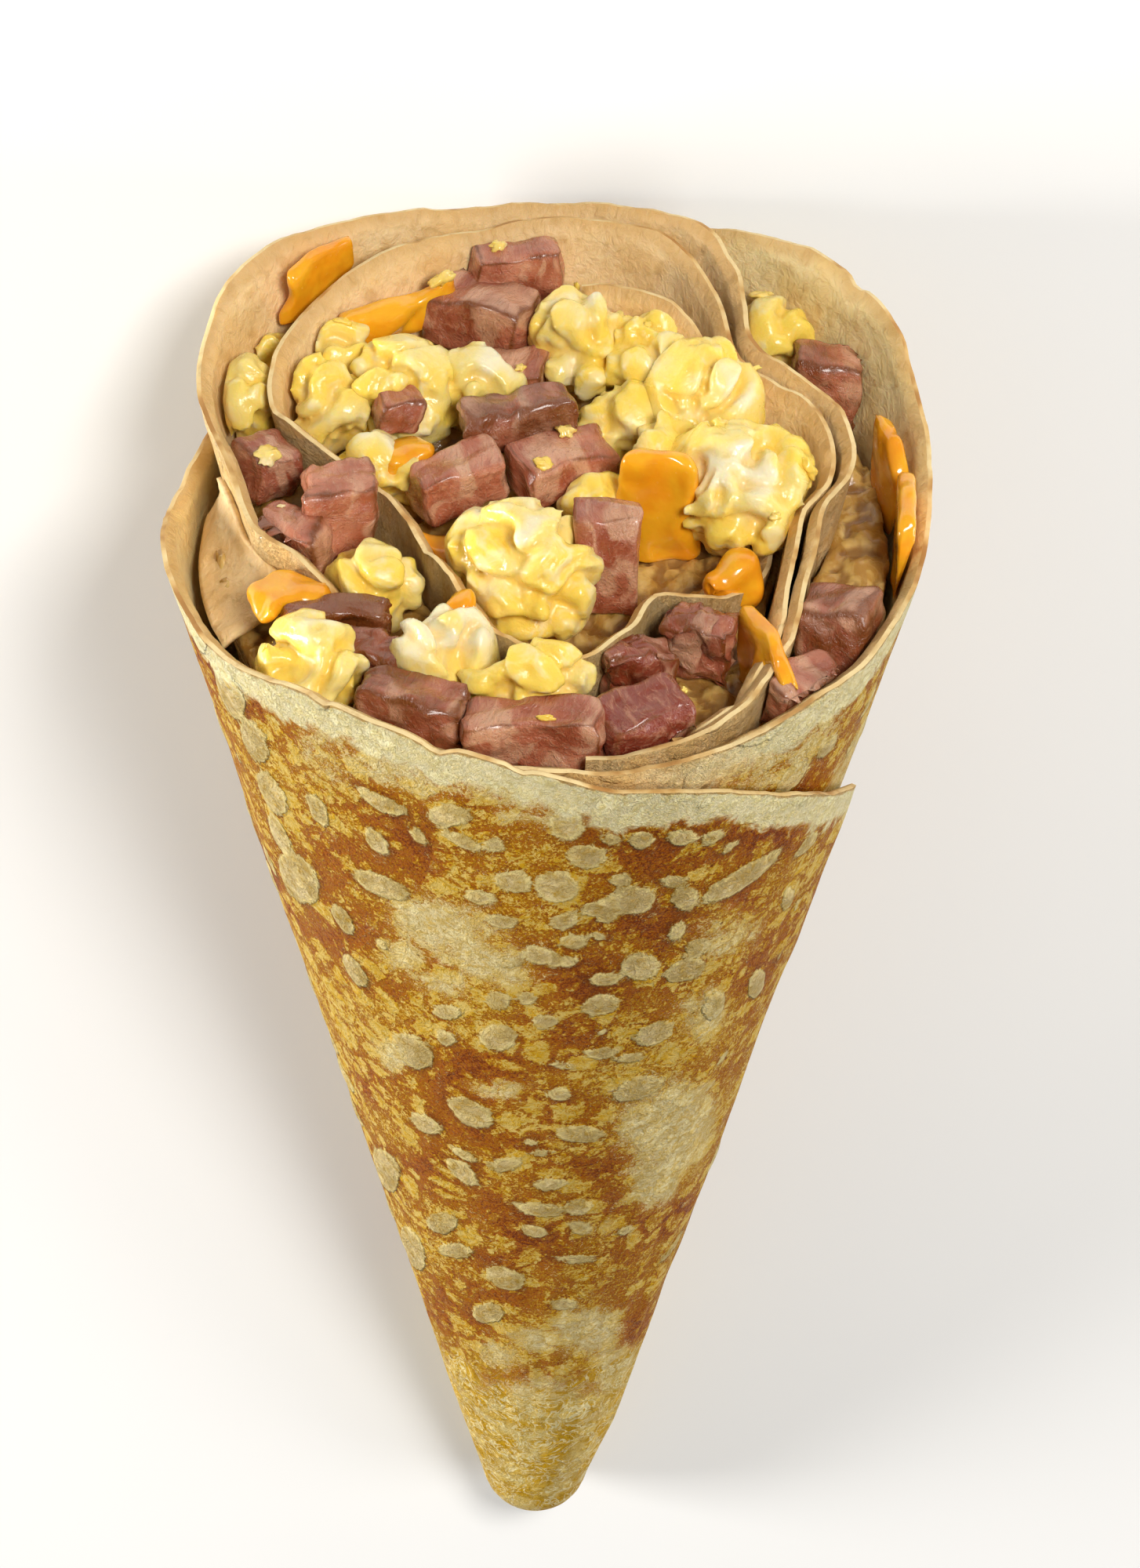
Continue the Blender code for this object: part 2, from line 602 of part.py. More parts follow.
def main():
    for old in list(bpy.data.objects):
        bpy.data.objects.remove(old, do_unlink=True)
    rng = random.Random(7)
    parts = bpy.data.collections.new("savory_crepe")
    scratch = bpy.data.collections.new("cutters")
    for collection in (parts, scratch):
        bpy.context.scene.collection.children.link(collection)
    crepe_finish = material("browned_crepe", (0.74, 0.46, 0.17), 0.6)
    filling_finish = material("packed_filling", (0.80, 0.60, 0.28), 0.6)
    ham_finish = material("diced_ham", (0.62, 0.24, 0.21), 0.4)
    egg_finish = material("scrambled_egg", (0.92, 0.72, 0.26), 0.5)
    cheese_finish = material("melted_cheese", (0.92, 0.45, 0.03), 0.3)
    crepe, walls = make_crepe(parts, scratch, crepe_finish)
    fillings, below = make_filling(parts, scratch, filling_finish, walls)
    done = []
    common = (parts, scratch)
    place_pieces("ham", HAM, dice_mesh, *common, ham_finish, walls, below, done, rng)
    place_pieces("cheese", CHEESE, slab_piece_mesh, *common, cheese_finish, walls, below, done, rng)
    place_pieces("egg", EGG, lump_mesh, *common, egg_finish, walls, below, done, rng)
    flatten_back(crepe, scratch)
    for cutter in list(scratch.objects):
        bpy.data.objects.remove(cutter, do_unlink=True)
    lay_down(parts)


main()
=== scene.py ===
# %% [markdown]
# # A savory crepe, rolled into a cone
# A thin browned pancake is folded in half and rolled into a cone. It lies on its back, and its
# open mouth shows scrambled egg, diced ham and melting cheese between the turns of the sheet.
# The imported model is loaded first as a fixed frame. Every piece below is made round it, in
# metres, and each code cell prints what it made.

# %% Load the frame
import json
import math
import random
from contextlib import contextmanager

import bpy
import numpy as np
from mathutils import Matrix, Vector, noise
from mathutils.bvhtree import BVHTree

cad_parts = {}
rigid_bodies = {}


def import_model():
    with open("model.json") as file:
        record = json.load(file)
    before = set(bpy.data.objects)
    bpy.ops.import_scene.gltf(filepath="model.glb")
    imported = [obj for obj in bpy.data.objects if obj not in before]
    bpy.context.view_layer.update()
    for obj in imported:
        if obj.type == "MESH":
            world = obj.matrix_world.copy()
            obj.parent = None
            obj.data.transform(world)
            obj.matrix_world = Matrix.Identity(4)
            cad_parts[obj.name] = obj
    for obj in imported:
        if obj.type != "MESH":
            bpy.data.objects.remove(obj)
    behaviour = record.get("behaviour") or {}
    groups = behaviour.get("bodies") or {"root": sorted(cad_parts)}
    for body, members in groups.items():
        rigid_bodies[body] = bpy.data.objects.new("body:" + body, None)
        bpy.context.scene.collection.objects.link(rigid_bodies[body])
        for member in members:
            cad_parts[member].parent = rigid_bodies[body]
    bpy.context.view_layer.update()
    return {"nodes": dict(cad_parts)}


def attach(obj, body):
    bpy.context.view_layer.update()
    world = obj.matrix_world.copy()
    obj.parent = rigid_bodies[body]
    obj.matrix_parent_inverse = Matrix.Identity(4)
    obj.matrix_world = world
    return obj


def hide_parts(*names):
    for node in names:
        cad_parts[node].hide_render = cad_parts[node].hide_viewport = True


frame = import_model()
MM = 0.001
noise.seed_set(5)  # vector noise follows the clock unless it is given a seed

# %% [markdown]
# ## The camera
# The picture looks down on the lying cone, from a little beyond its mouth. A long lens keeps
# the sides straight. The camera comes first, because marks on the front wall are later placed
# by looking through it at the spot where the real crepe shows them.

# %% Camera
IMAGE_SIZE = (1454, 2000)
SENSOR = 36.0
LENS = 114.894
CAMERA_PLACE = (0.00077, 0.30622, 0.5973)
CAMERA_TURN = (-26.08, 0.26, 1.10)
camera_data = bpy.data.cameras.new("camera")
camera_data.sensor_fit = "VERTICAL"
camera_data.sensor_height = SENSOR
camera_data.lens = LENS
camera_data.clip_start = 0.01
camera = bpy.data.objects.new("camera", camera_data)
bpy.context.scene.collection.objects.link(camera)
camera.location = CAMERA_PLACE
camera.rotation_euler = [math.radians(a) for a in CAMERA_TURN]
bpy.context.scene.camera = camera
bpy.context.view_layer.update()
print("camera at", [round(v, 3) for v in camera.location])

# %% [markdown]
# ## The cone's own frame
# The sheet is easiest to describe standing up: Z runs up the axis from the point where the
# straight sides would meet, and a turn angle runs clockwise round it from the seam. One matrix
# then lays everything down on its back, exactly as the CAD model lies.

# %% Cone measures and the lying pose
HALF_ANGLE = math.radians(13.14)
TIP_RADIUS = 7.4
SHEET = 1.5
TURN_PITCH = 1.8
SEAM_BEARING = -20.0
SHEET_FOOT = 45.0
MOUTH_HEIGHT = 201.0
MOUTH_RISE = 9.0 / 47.0
TIP_CENTRE = TIP_RADIUS / math.sin(HALF_ANGLE)
TANGENT_HEIGHT = TIP_CENTRE - TIP_RADIUS * math.sin(HALF_ANGLE)
APEX_PLACE = (0.00077, -0.12018, -0.0007)  # where the straight sides would meet, lying down
LIE_DOWN = Matrix((
    (MM, 0, 0, APEX_PLACE[0]),
    (0, math.sin(HALF_ANGLE) * MM, math.cos(HALF_ANGLE) * MM, APEX_PLACE[1]),
    (0, -math.cos(HALF_ANGLE) * MM, math.sin(HALF_ANGLE) * MM, APEX_PLACE[2]),
    (0, 0, 0, 1),
))
STAND_UP = LIE_DOWN.inverted()


def cone_radius(height):
    """Outer radius of the plain cone, with its round tip."""
    if height >= TANGENT_HEIGHT:
        return height * math.tan(HALF_ANGLE)
    reach = TIP_CENTRE - height
    return math.sqrt(max(TIP_RADIUS ** 2 - reach ** 2, 0.0))


def packed_inset(turn):
    """How far the sheet's outer face lies inside the plain cone in a tight roll."""
    return TURN_PITCH * turn / 360.0 - TURN_PITCH / 2


def polar(bearing, radius, height):
    angle = math.radians(bearing)
    return Vector((radius * math.cos(angle), radius * math.sin(angle), height))


def flat_place(turn, slant):
    """Where a point of the cone would lie if the sheet were unrolled flat, in millimetres."""
    angle = math.radians(turn) * math.sin(HALF_ANGLE)
    return Vector((slant * math.cos(angle), slant * math.sin(angle), 0))


print("cone tip at mm", [round(v / MM, 1) for v in LIE_DOWN @ Vector((0, 0, TIP_CENTRE - TIP_RADIUS))])

# %% [markdown]
# ## Marks on the browned side
# A crepe browns where the batter touches the pan, and stays pale where steam lifts it into
# small oval blisters. The clearest ovals, pale patches and toasted zones are listed one by one,
# each as a spot in the picture with its width, height and lean, and followed along the camera's
# line of sight to the wall. Seeded random ones carry the same look round the sides and back.

# %% Following a line of sight to the wall


def wall_point(px, py):
    """Turn and slant height where the line of sight through a picture spot meets the cone."""
    half = SENSOR / 2 / LENS
    x = (px / IMAGE_SIZE[0] - 0.5) * 2 * half * IMAGE_SIZE[0] / IMAGE_SIZE[1]
    y = (0.5 - py / IMAGE_SIZE[1]) * 2 * half
    eye = STAND_UP @ camera.matrix_world.translation
    way = (STAND_UP.to_3x3() @ (camera.matrix_world.to_3x3() @ Vector((x, y, -1)))).normalized()
    k = math.tan(HALF_ANGLE) ** 2
    a = way.x ** 2 + way.y ** 2 - k * way.z ** 2
    b = 2 * (eye.x * way.x + eye.y * way.y - k * eye.z * way.z)
    c = eye.x ** 2 + eye.y ** 2 - k * eye.z ** 2
    root = math.sqrt(max(b * b - 4 * a * c, 0.0))
    spot = min(((-b + s * root) / (2 * a) for s in (-1, 1)), key=abs)
    hit = eye + way * spot
    bearing = math.degrees(math.atan2(hit.y, hit.x))
    turn = (SEAM_BEARING - bearing) % 360.0
    return turn, hit.z / math.cos(HALF_ANGLE)


# Ovals: picture x, y, width, height, lean clockwise
BLISTERS = [
    (748, 1087, 52, 30, 0), (710, 1126, 56, 40, 5), (808, 1142, 52, 36, 0), (723, 1048, 46, 42, 0),
    (817, 1066, 32, 22, 0), (868, 1062, 36, 22, -8), (778, 1065, 22, 13, 10), (632, 1073, 28, 18, 0),
    (572, 1036, 56, 28, 0), (655, 1119, 48, 28, 8), (486, 1128, 74, 26, 25), (790, 1116, 28, 17, 0),
    (855, 1118, 38, 15, -5), (872, 1140, 34, 30, -25), (760, 1154, 42, 20, 0), (720, 1168, 38, 21, -8),
    (730, 1194, 38, 19, 5), (762, 1188, 24, 11, 0), (688, 1212, 46, 24, 10), (815, 1227, 50, 36, -5),
    (725, 1220, 24, 15, -10), (770, 1243, 44, 17, 0), (870, 1232, 52, 28, -20), (887, 1202, 32, 20, -20),
    (765, 1276, 46, 28, -12), (695, 1297, 34, 20, 0), (637, 1270, 32, 22, 10), (672, 1268, 26, 16, 10),
    (571, 1288, 38, 20, 0), (636, 1319, 48, 32, 5), (572, 1320, 28, 19, 10), (832, 1314, 52, 28, -22),
    (615, 1141, 42, 20, 10), (527, 1338, 60, 36, 40), (812, 1385, 66, 26, -20), (764, 1338, 42, 15, 0),
    (718, 1355, 36, 10, 5), (602, 1414, 64, 30, 28), (545, 1430, 44, 22, 30), (738, 1443, 58, 21, 3),
    (712, 1392, 34, 17, 0), (645, 1480, 42, 17, -8), (592, 1491, 50, 22, 38), (702, 1506, 44, 16, 0),
    (686, 1538, 62, 17, 8), (737, 1536, 36, 19, -8), (566, 1556, 38, 26, 5), (683, 1566, 32, 17, 15),
    (583, 1591, 44, 18, 10), (645, 1626, 54, 26, 22), (733, 1602, 52, 10, 0), (690, 1466, 28, 8, -5),
    (623, 1672, 40, 26, 5), (720, 1660, 34, 14, -5), (800, 1345, 40, 12, -10), (905, 1060, 34, 16, -25),
    (352, 1008, 24, 64, -28), (407, 1030, 18, 52, -25), (362, 1060, 16, 56, -25), (384, 1118, 38, 74, -28),
    (374, 1170, 18, 62, -24), (486, 1021, 76, 18, 28), (483, 1072, 44, 22, 50), (590, 1068, 62, 15, 28),
    (470, 1455, 14, 74, -20), (494, 1490, 24, 60, -20), (448, 1392, 14, 60, -20), (530, 1590, 22, 60, -22),
    (942, 1115, 118, 24, -32), (1024, 1072, 42, 12, -48), (1000, 1142, 12, 32, 15), (960, 1250, 20, 40, 15),
    (905, 1275, 24, 40, 20), (640, 1170, 40, 18, 12), (440, 1170, 18, 44, -35), (455, 1235, 20, 50, -35),
    (300, 880, 26, 70, -22), (330, 940, 24, 60, -24), (262, 800, 16, 60, -14), (300, 800, 30, 60, -18),
]
# Pale patches: picture x, y, width, height, lean, strength
PALE_PATCHES = [
    (560, 1180, 130, 64, 15, 1.0), (620, 1222, 120, 50, 15, 0.9), (520, 1215, 60, 40, 0, 0.8),
    (855, 1440, 110, 110, -20, 1.0), (830, 1505, 60, 70, 0, 0.9), (880, 1400, 70, 50, -20, 0.7),
    (750, 1695, 90, 56, -10, 0.9), (680, 1705, 60, 30, 0, 0.8), (640, 1728, 60, 30, 0, 0.8),
    (500, 985, 150, 36, 20, 0.8), (640, 1012, 130, 30, 12, 0.6), (920, 1190, 90, 60, -20, 0.6),
    (895, 1290, 60, 70, 15, 0.6), (640, 1385, 70, 22, 0, 0.7), (500, 1345, 44, 36, 30, 0.9),
    (420, 960, 60, 90, -35, 0.5), (790, 1740, 60, 40, -40, 1.0), (680, 1040, 90, 24, 5, 0.6),
    (560, 1250, 90, 30, 10, 0.6), (960, 1010, 160, 40, 0, 0.5), (760, 1560, 60, 24, 0, 0.4),
    (330, 760, 90, 90, 0, 0.5), (390, 880, 60, 80, -30, 0.5),
]
# Toasted zones: picture x, y, width, height, lean, strength
TOASTED_ZONES = [
    (820, 1085, 170, 60, 0, 0.95), (805, 1176, 140, 56, 0, 1.0), (975, 1072, 64, 44, -20, 0.95),
    (545, 1083, 120, 56, 8, 0.85), (470, 1030, 90, 50, 20, 0.65), (430, 1192, 66, 56, 30, 0.85),
    (490, 1258, 74, 34, 10, 0.9), (745, 1240, 120, 70, 0, 1.0), (705, 1312, 130, 44, 0, 0.85),
    (650, 1352, 150, 36, 0, 0.9), (590, 1378, 74, 56, 0, 0.9), (735, 1416, 120, 42, 0, 0.95),
    (530, 1482, 120, 36, 10, 0.85), (655, 1460, 80, 32, 0, 0.8), (748, 1486, 120, 36, 0, 0.95),
    (668, 1572, 90, 70, 0, 1.15), (660, 1604, 110, 34, 0, 0.9), (850, 1547, 74, 36, -10, 1.3),
    (660, 1650, 130, 34, 0, 0.85), (585, 1686, 80, 26, 8, 0.8), (805, 1690, 34, 70, 15, 1.1),
    (950, 1140, 44, 40, 0, 0.8), (300, 960, 40, 120, -18, 0.8), (470, 1385, 60, 50, 20, 0.6),
    (560, 1430, 50, 40, 0, 0.5), (720, 1120, 150, 60, 0, 0.4), (960, 1240, 40, 120, 20, 0.6),
    (560, 1655, 50, 40, 10, 0.7), (620, 1440, 80, 30, 5, 0.6), (780, 1530, 50, 60, 0, 0.6),
    (270, 850, 30, 90, -15, 0.7), (420, 1100, 80, 60, 30, 0.5), (640, 1530, 60, 40, 0, 0.5),
]


def leaf(px, py, width, height, lean):
    """An oval seen in the picture as its centre and two half-axes on the unrolled sheet."""
    centre = flat_place(*wall_point(px, py))
    slope = math.radians(lean)
    axes = []
    for half, angle in ((width / 2, slope), (height / 2, slope + math.pi / 2)):
        step = (math.cos(angle) * half * 0.3, math.sin(angle) * half * 0.3)
        there = flat_place(*wall_point(px + step[0], py + step[1]))
        back = flat_place(*wall_point(px - step[0], py - step[1]))
        axes.append((there - back) / 0.6)
    return centre, axes[0], axes[1]


def random_leaf(rng, size, long_range):
    """An oval at a seeded place of the half disc that the unrolled sheet covers."""
    turn = rng.uniform(0, 800)
    slant = math.sqrt(rng.uniform(0.02, 1.0)) * 216
    angle = rng.uniform(0, math.pi)
    half = rng.uniform(*size) / 2
    longer = half * rng.uniform(*long_range)
    way = Vector((math.cos(angle), math.sin(angle), 0))
    across = Vector((-way.y, way.x, 0))
    return turn, slant, (flat_place(turn, slant), way * longer, across * half)


def turn_in_view(turn, slant):
    """True where the first turn faces the camera, so that placed marks cover it."""
    bearing = (SEAM_BEARING - turn + 180) % 360 - 180
    return turn < 350 and abs(bearing + 90) < 68 and slant > 70


blisters = [leaf(*row) for row in BLISTERS]
pale = [(leaf(*row[:5]), row[5]) for row in PALE_PATCHES]
toasted = [(leaf(*row[:5]), row[5]) for row in TOASTED_ZONES]
# Scattered marks: how many, width in mm, stretch, lowest place, on the side in view, list, strength
SCATTERED = [
    (900, (2.2, 4.6), (1.1, 1.9), 80, False, blisters, None),
    (150, (1.2, 2.6), (1.1, 1.8), 80, True, blisters, None),
    (210, (5, 11), (1.2, 2.4), 60, False, toasted, (0.6, 1.1)),
    (90, (6, 12), (1.2, 2.0), 0, False, pale, (0.5, 1.0)),
]
rng = random.Random(11)
for count, width, stretch, lowest, in_view, marks, strength in SCATTERED:
    for _ in range(count):
        turn, slant, mark = random_leaf(rng, width, stretch)
        if slant > lowest and turn_in_view(turn, slant) == in_view:
            marks.append((mark, rng.uniform(*strength)) if strength else mark)
print("marks:", len(blisters), "blisters,", len(pale), "pale patches,", len(toasted), "toasted zones")

# %% [markdown]
# ## The rolled sheet
# The real sheet is one pancake about a millimetre and a half thick. A roll can be made by
# bending a flat grid, but a Bend modifier has no changing radius, so the grid's rows and columns
# are mapped straight onto the turns. The rim stations say, for each turn angle, how far the rim
# leans in and how high it stands; smooth curves run through them.

# %% Stations along the rim
# Outer wrap, clockwise from its seam: turn angle, extra inset, rim height
OUTER_WRAP = [
    (0, 0.0, 167), (14, 0.0, 173.6), (29, 0.0, 180.5), (46, 0.0, 187.4), (61, 0.0, 190.2),
    (77, 0.0, 195.2), (93, 0.0, 197.5), (106, 0.0, 197.9), (124, -0.3, 194.4),
    (153, -1.4, 194.8), (170, -1.6, 192.5), (190, -1.7, 195), (225, -0.9, 200), (258, 0.0, 203),
    (272, 0.0, 209), (291, 0.0, 210.7), (308, 0.0, 209.2), (318, 0.0, 204.6), (335, 0.3, 199.5),
    (360, 0.2, 197), (375, 0.0, 195), (388, 0.0, 194.4), (410, 0.0, 191.6), (437, 0.8, 191.6),
    (458, 7.0, 188), (483, 14.6, 192.5), (498, 12.6, 197.8), (508, 8.6, 199.5),
    (524, 5.8, 201.5), (543, -1.3, 205.2), (556, -0.9, 212), (574, -0.4, 212.3),
    (592, 0.0, 210.9), (612, 0.0, 210.8), (632, 0.4, 211), (641, 3.6, 208.4),
    (653, 10.8, 205.9), (664, 10.8, 204.9), (679, 8.0, 203.6), (695, 8.6, 201.6),
    (706, 11.6, 200.4), (726, 10.2, 198.2), (743, 5.8, 196.1), (757, 1.6, 194.5),
    (771, 0.5, 192.8), (784, 0.9, 191.6),
]
# Inner fold, clockwise from its free end: bearing, outer radius, rim height
INNER_FOLD = [
    (85, 34.2, 207), (77, 34.4, 207.6), (64, 33.4, 207.2), (54, 31.0, 205), (38, 28.4, 199.5),
    (10, 27.0, 194.5), (-18, 26.2, 193.6), (-37, 23.6, 195.4), (-52, 20.4, 196.6),
    (-68, 24, 196), (-83, 26.6, 195.4), (-103, 24.0, 196), (-118, 20.8, 196.8),
    (-137, 18.0, 197.8), (-158, 17.9, 198.6), (-173, 19.6, 199.5), (-185, 23.6, 200.4),
    (-192, 28.2, 201.3), (-197, 33.4, 202.4), (-202, 37.6, 203.5), (-216, 40.6, 206.2),
    (-236, 41.6, 210.2), (-257, 43.2, 209.9), (-272, 44.0, 210.6), (-288, 43.6, 209.8),
    (-299, 39.4, 207.4), (-312, 32.4, 205), (-324, 32.0, 204), (-339, 34.6, 202.8),
    (-355, 33.5, 200.8), (-366, 30.2, 199.6), (-386, 31.2, 197.4), (-403, 35.4, 195.3),
    (-417, 39.2, 193.6), (-429, 40.0, 192),
]
FOLD_FIRST_LAYER = 3.14
CURVE_STEPS = 16


def smooth_values(stations):
    """Catmull-Rom curve through rows of numbers."""
    last = len(stations) - 1
    fine = []
    for index in range(last):
        rows = [stations[max(0, min(last, index + k))] for k in (-1, 0, 1, 2)]
        for part in range(CURVE_STEPS):
            t = part / CURVE_STEPS
            weights = (-0.5 * t + t * t - 0.5 * t ** 3, 1 - 2.5 * t * t + 1.5 * t ** 3,
                       0.5 * t + 2 * t * t - 1.5 * t ** 3, -0.5 * t * t + 0.5 * t ** 3)
            fine.append([sum(w * row[k] for w, row in zip(weights, rows)) for k in range(3)])
    fine.append(list(stations[-1]))
    return fine


def even_columns(fine, place, step):
    """Values whose rim points are about one step apart."""
    points = [place(*row) for row in fine]
    run = [0.0]
    for before, after in zip(points, points[1:]):
        run.append(run[-1] + (after - before).length)
    count = round(run[-1] / step)
    goals = np.linspace(0, run[-1], count + 1)
    return np.stack([np.interp(goals, run, [row[k] for row in fine]) for k in range(3)], 1)


def outer_rim(turn, extra, height):
    return polar(SEAM_BEARING - turn, cone_radius(height) - packed_inset(turn) - extra, height)


STEP = 1.12
outer_columns = even_columns(smooth_values(OUTER_WRAP), outer_rim, STEP)
fold_columns = even_columns(smooth_values(INNER_FOLD), polar, STEP)
print("columns:", len(outer_columns), "outer,", len(fold_columns), "inner fold")

# %% [markdown]
# Each column of the sheet is a line from the round tip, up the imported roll, to its rim. The rim
# is never cut clean: small seeded waves and two torn notches change its height a little.

# %% Columns of points
ROUND_ROWS = 7
STRAIGHT_FOOT = 50.0
LOW_SHARE = 0.1
FOLD_LOWEST = 0.55
# Torn notches: turn angle, width in degrees, depth in millimetres
TORN_PLACES = ((86.0, 2.2, 1.6), (74.0, 1.4, 0.9), (104.0, 1.0, 0.7), (300.0, 1.6, 0.8), (352.0, 1.2, 0.6))


def ragged_rim(turn, height):
    """Rim height with its small tears."""
    wave = noise.noise(Vector((turn * 0.05, height * 0.02, 3.1))) * 0.7
    wave += (noise.noise(Vector((turn * 0.19, 1.7, 0.4))) * 0.4
             + noise.noise(Vector((turn * 0.6, 5.2, 0.4))) * 0.16)
    for place, width, depth in TORN_PLACES:
        wave -= depth * math.exp(-((turn - place) / width) ** 2)
    return height + wave


def outer_line(turn, extra, height, shares):
    """Points of the outer wrap at one turn: round tip, packed cone, then on to the rim."""
    bearing = SEAM_BEARING - turn
    line = []
    for k in range(ROUND_ROWS):
        angle = (math.pi / 2 - HALF_ANGLE) * k / ROUND_ROWS
        line.append(polar(bearing, TIP_RADIUS * math.sin(angle), TIP_CENTRE - TIP_RADIUS * math.cos(angle)))
    rim_height = ragged_rim(turn, height)
    rim = polar(bearing, cone_radius(rim_height) - packed_inset(turn) - extra, rim_height)
    foot = polar(bearing, cone_radius(SHEET_FOOT) - packed_inset(turn), SHEET_FOOT)
    base = foot.lerp(rim, (STRAIGHT_FOOT - SHEET_FOOT) / (rim.z - SHEET_FOOT))
    for share in shares:
        if share <= LOW_SHARE:
            level = TANGENT_HEIGHT + (STRAIGHT_FOOT - TANGENT_HEIGHT) * min(share / LOW_SHARE, 1.0)
            fade = min(max((level - TIP_CENTRE) / (SHEET_FOOT - TIP_CENTRE), 0.0), 1.0)
            line.append(polar(bearing, cone_radius(level) - fade * packed_inset(turn), level))
        else:
            line.append(base.lerp(rim, (share - LOW_SHARE) / 0.9))
    return line


def fold_line(bearing, radius, height, shares):
    """Points of the inner fold at one bearing, over its upper part only."""
    layer = FOLD_FIRST_LAYER + (bearing - INNER_FOLD[-1][0]) / 360.0
    rim_height = ragged_rim(bearing + 500, height)
    rim = polar(bearing, radius, rim_height)
    foot = polar(bearing, cone_radius(SHEET_FOOT) - TURN_PITCH * layer + TURN_PITCH / 2, SHEET_FOOT)
    return [foot.lerp(rim, share) for share in shares]


outer_shares = np.concatenate([np.linspace(0, LOW_SHARE, 16)[:-1], np.linspace(LOW_SHARE, 1.0, 132)])
fold_shares = np.concatenate([np.linspace(FOLD_LOWEST, 0.75, 9)[:-1], np.linspace(0.75, 1.0, 34)])
outer_points = [outer_line(*row, outer_shares) for row in outer_columns]
fold_points = [fold_line(*row, fold_shares) for row in fold_columns]
print("rows:", len(outer_points[0]), "outer,", len(fold_points[0]), "inner fold")

# %% [markdown]
# The grid primitive gives the faces and an even UV map. Its corners then go to the columns of
# points, and its UV map is set to the unrolled sheet, so that every pattern runs on smoothly
# from turn to turn. The turns hidden inside the roll keep only their upper part.

# %% Helpers for selecting, editing and storing


def only(made, *others):
    """Select one object, or a few, with the first one active."""
    bpy.ops.object.select_all(action="DESELECT")
    for one in (made, *others):
        one.select_set(True)
    bpy.context.view_layer.objects.active = made


@contextmanager
def editing(made, everything=True):
    """Edit mode on one object, with all of it selected or only the faces picked before."""
    only(made)
    bpy.ops.object.mode_set(mode="EDIT")
    if everything:
        bpy.ops.mesh.select_all(action="SELECT")
    else:
        bpy.ops.mesh.select_mode(type="FACE")
    yield
    bpy.ops.object.mode_set(mode="OBJECT")


def store_floats(made, label, values):
    """Keep one number for each corner, under a name that a material can read."""
    store = made.data.attributes.new(label, "FLOAT", "POINT")
    store.data.foreach_set("value", np.asarray(values, np.float32))


def read_floats(made, label):
    values = np.zeros(len(made.data.vertices), np.float32)
    made.data.attributes[label].data.foreach_get("value", values)
    return values


def pick_faces(made, test):
    """Select the faces that pass a test on the turns of their corners."""
    mesh = made.data
    for kind in (mesh.polygons, mesh.edges, mesh.vertices):
        kind.foreach_set("select", [False] * len(kind))
    along = read_floats(made, "along").tolist()
    for face in mesh.polygons:
        face.select = test(face, [along[v] for v in face.vertices])


# %% Mapping a grid onto the roll


def sheet_grid(name, points, turns, slants):
    """A grid whose corners lie at the points, with the unrolled sheet as its UV map."""
    columns, rows = len(points), len(points[0])
    bpy.ops.object.select_all(action="DESELECT")
    bpy.ops.mesh.primitive_grid_add(x_subdivisions=rows - 1, y_subdivisions=columns - 1, size=1)
    made = bpy.context.object
    made.name = name
    made.data.name = name
    places = np.array([p for line in points for p in line])
    made.data.vertices.foreach_set("co", places.ravel())
    flat = np.array([flat_place(turns[i], slants[i][j])[:2] for i in range(columns) for j in range(rows)])
    corners = np.zeros(len(made.data.loops), dtype=np.int32)
    made.data.loops.foreach_get("vertex_index", corners)
    made.data.uv_layers[0].name = "unrolled"
    made.data.uv_layers[0].data.foreach_set("uv", (flat[corners] / 100).ravel())
    ups = np.array(slants)
    store_floats(made, "along", np.repeat(turns, rows))
    store_floats(made, "up", ups.ravel())
    store_floats(made, "rim", (ups[:, -1:] - ups).ravel())
    return made


def slants_of(points, foot):
    """Distance up the wall from the point where the sides would meet, for each point."""
    found = []
    for line in points:
        run = [foot]
        for before, after in zip(line, line[1:]):
            run.append(run[-1] + (after - before).length)
        found.append(run)
    return found


TIP_SLANT = TANGENT_HEIGHT / math.cos(HALF_ANGLE) - TIP_RADIUS * (math.pi / 2 - HALF_ANGLE)
FOLD_WALL = 160
FOLD_FIRST_TURN = 760
outer_slants = slants_of(outer_points, TIP_SLANT)
fold_foot = SHEET_FOOT / math.cos(HALF_ANGLE)
fold_slants = [[s - line[0] + fold_foot + FOLD_LOWEST * FOLD_WALL for s in line]
               for line in slants_of(fold_points, 0)]
outer_turns = outer_columns[:, 0]
fold_turns = FOLD_FIRST_TURN + (INNER_FOLD[0][0] - fold_columns[:, 0])
outer_wrap = sheet_grid("crepe_outer_wrap", outer_points, outer_turns, outer_slants)
inner_fold = sheet_grid("crepe_inner_fold", fold_points, fold_turns, fold_slants)
print("grids:", len(outer_wrap.data.vertices), "and", len(inner_fold.data.vertices), "corners")

# %% Leaving out the parts hidden in the roll
FIRST_TURN_END = 368.0
SEEN_FROM_HEIGHT = 158


def hidden_in_roll(face, turns):
    turn, height = sum(turns) / len(turns), face.center.z
    below_rim = turn > FIRST_TURN_END and height < SEEN_FROM_HEIGHT
    return below_rim or (turn > 360 and height < STRAIGHT_FOOT + 1)


pick_faces(outer_wrap, hidden_in_roll)
with editing(outer_wrap, everything=False):
    bpy.ops.mesh.delete(type="FACE")
with editing(outer_wrap):
    bpy.ops.mesh.remove_doubles(threshold=0.004)
print("outer wrap now:", len(outer_wrap.data.polygons), "faces")

# %% [markdown]
# Thin soft layers are never smooth. Slow waves, the same through all the turns so that they
# never cut into each other, are added to the grid, and every blister lifts the sheet a little.
# The same ovals are stored as numbers on the corners: how far each corner is from the nearest
# blister's edge, and how toasted or pale the place is. The material reads them.

# %% Marks and waves on the sheet
BLISTER_RISE = 0.20


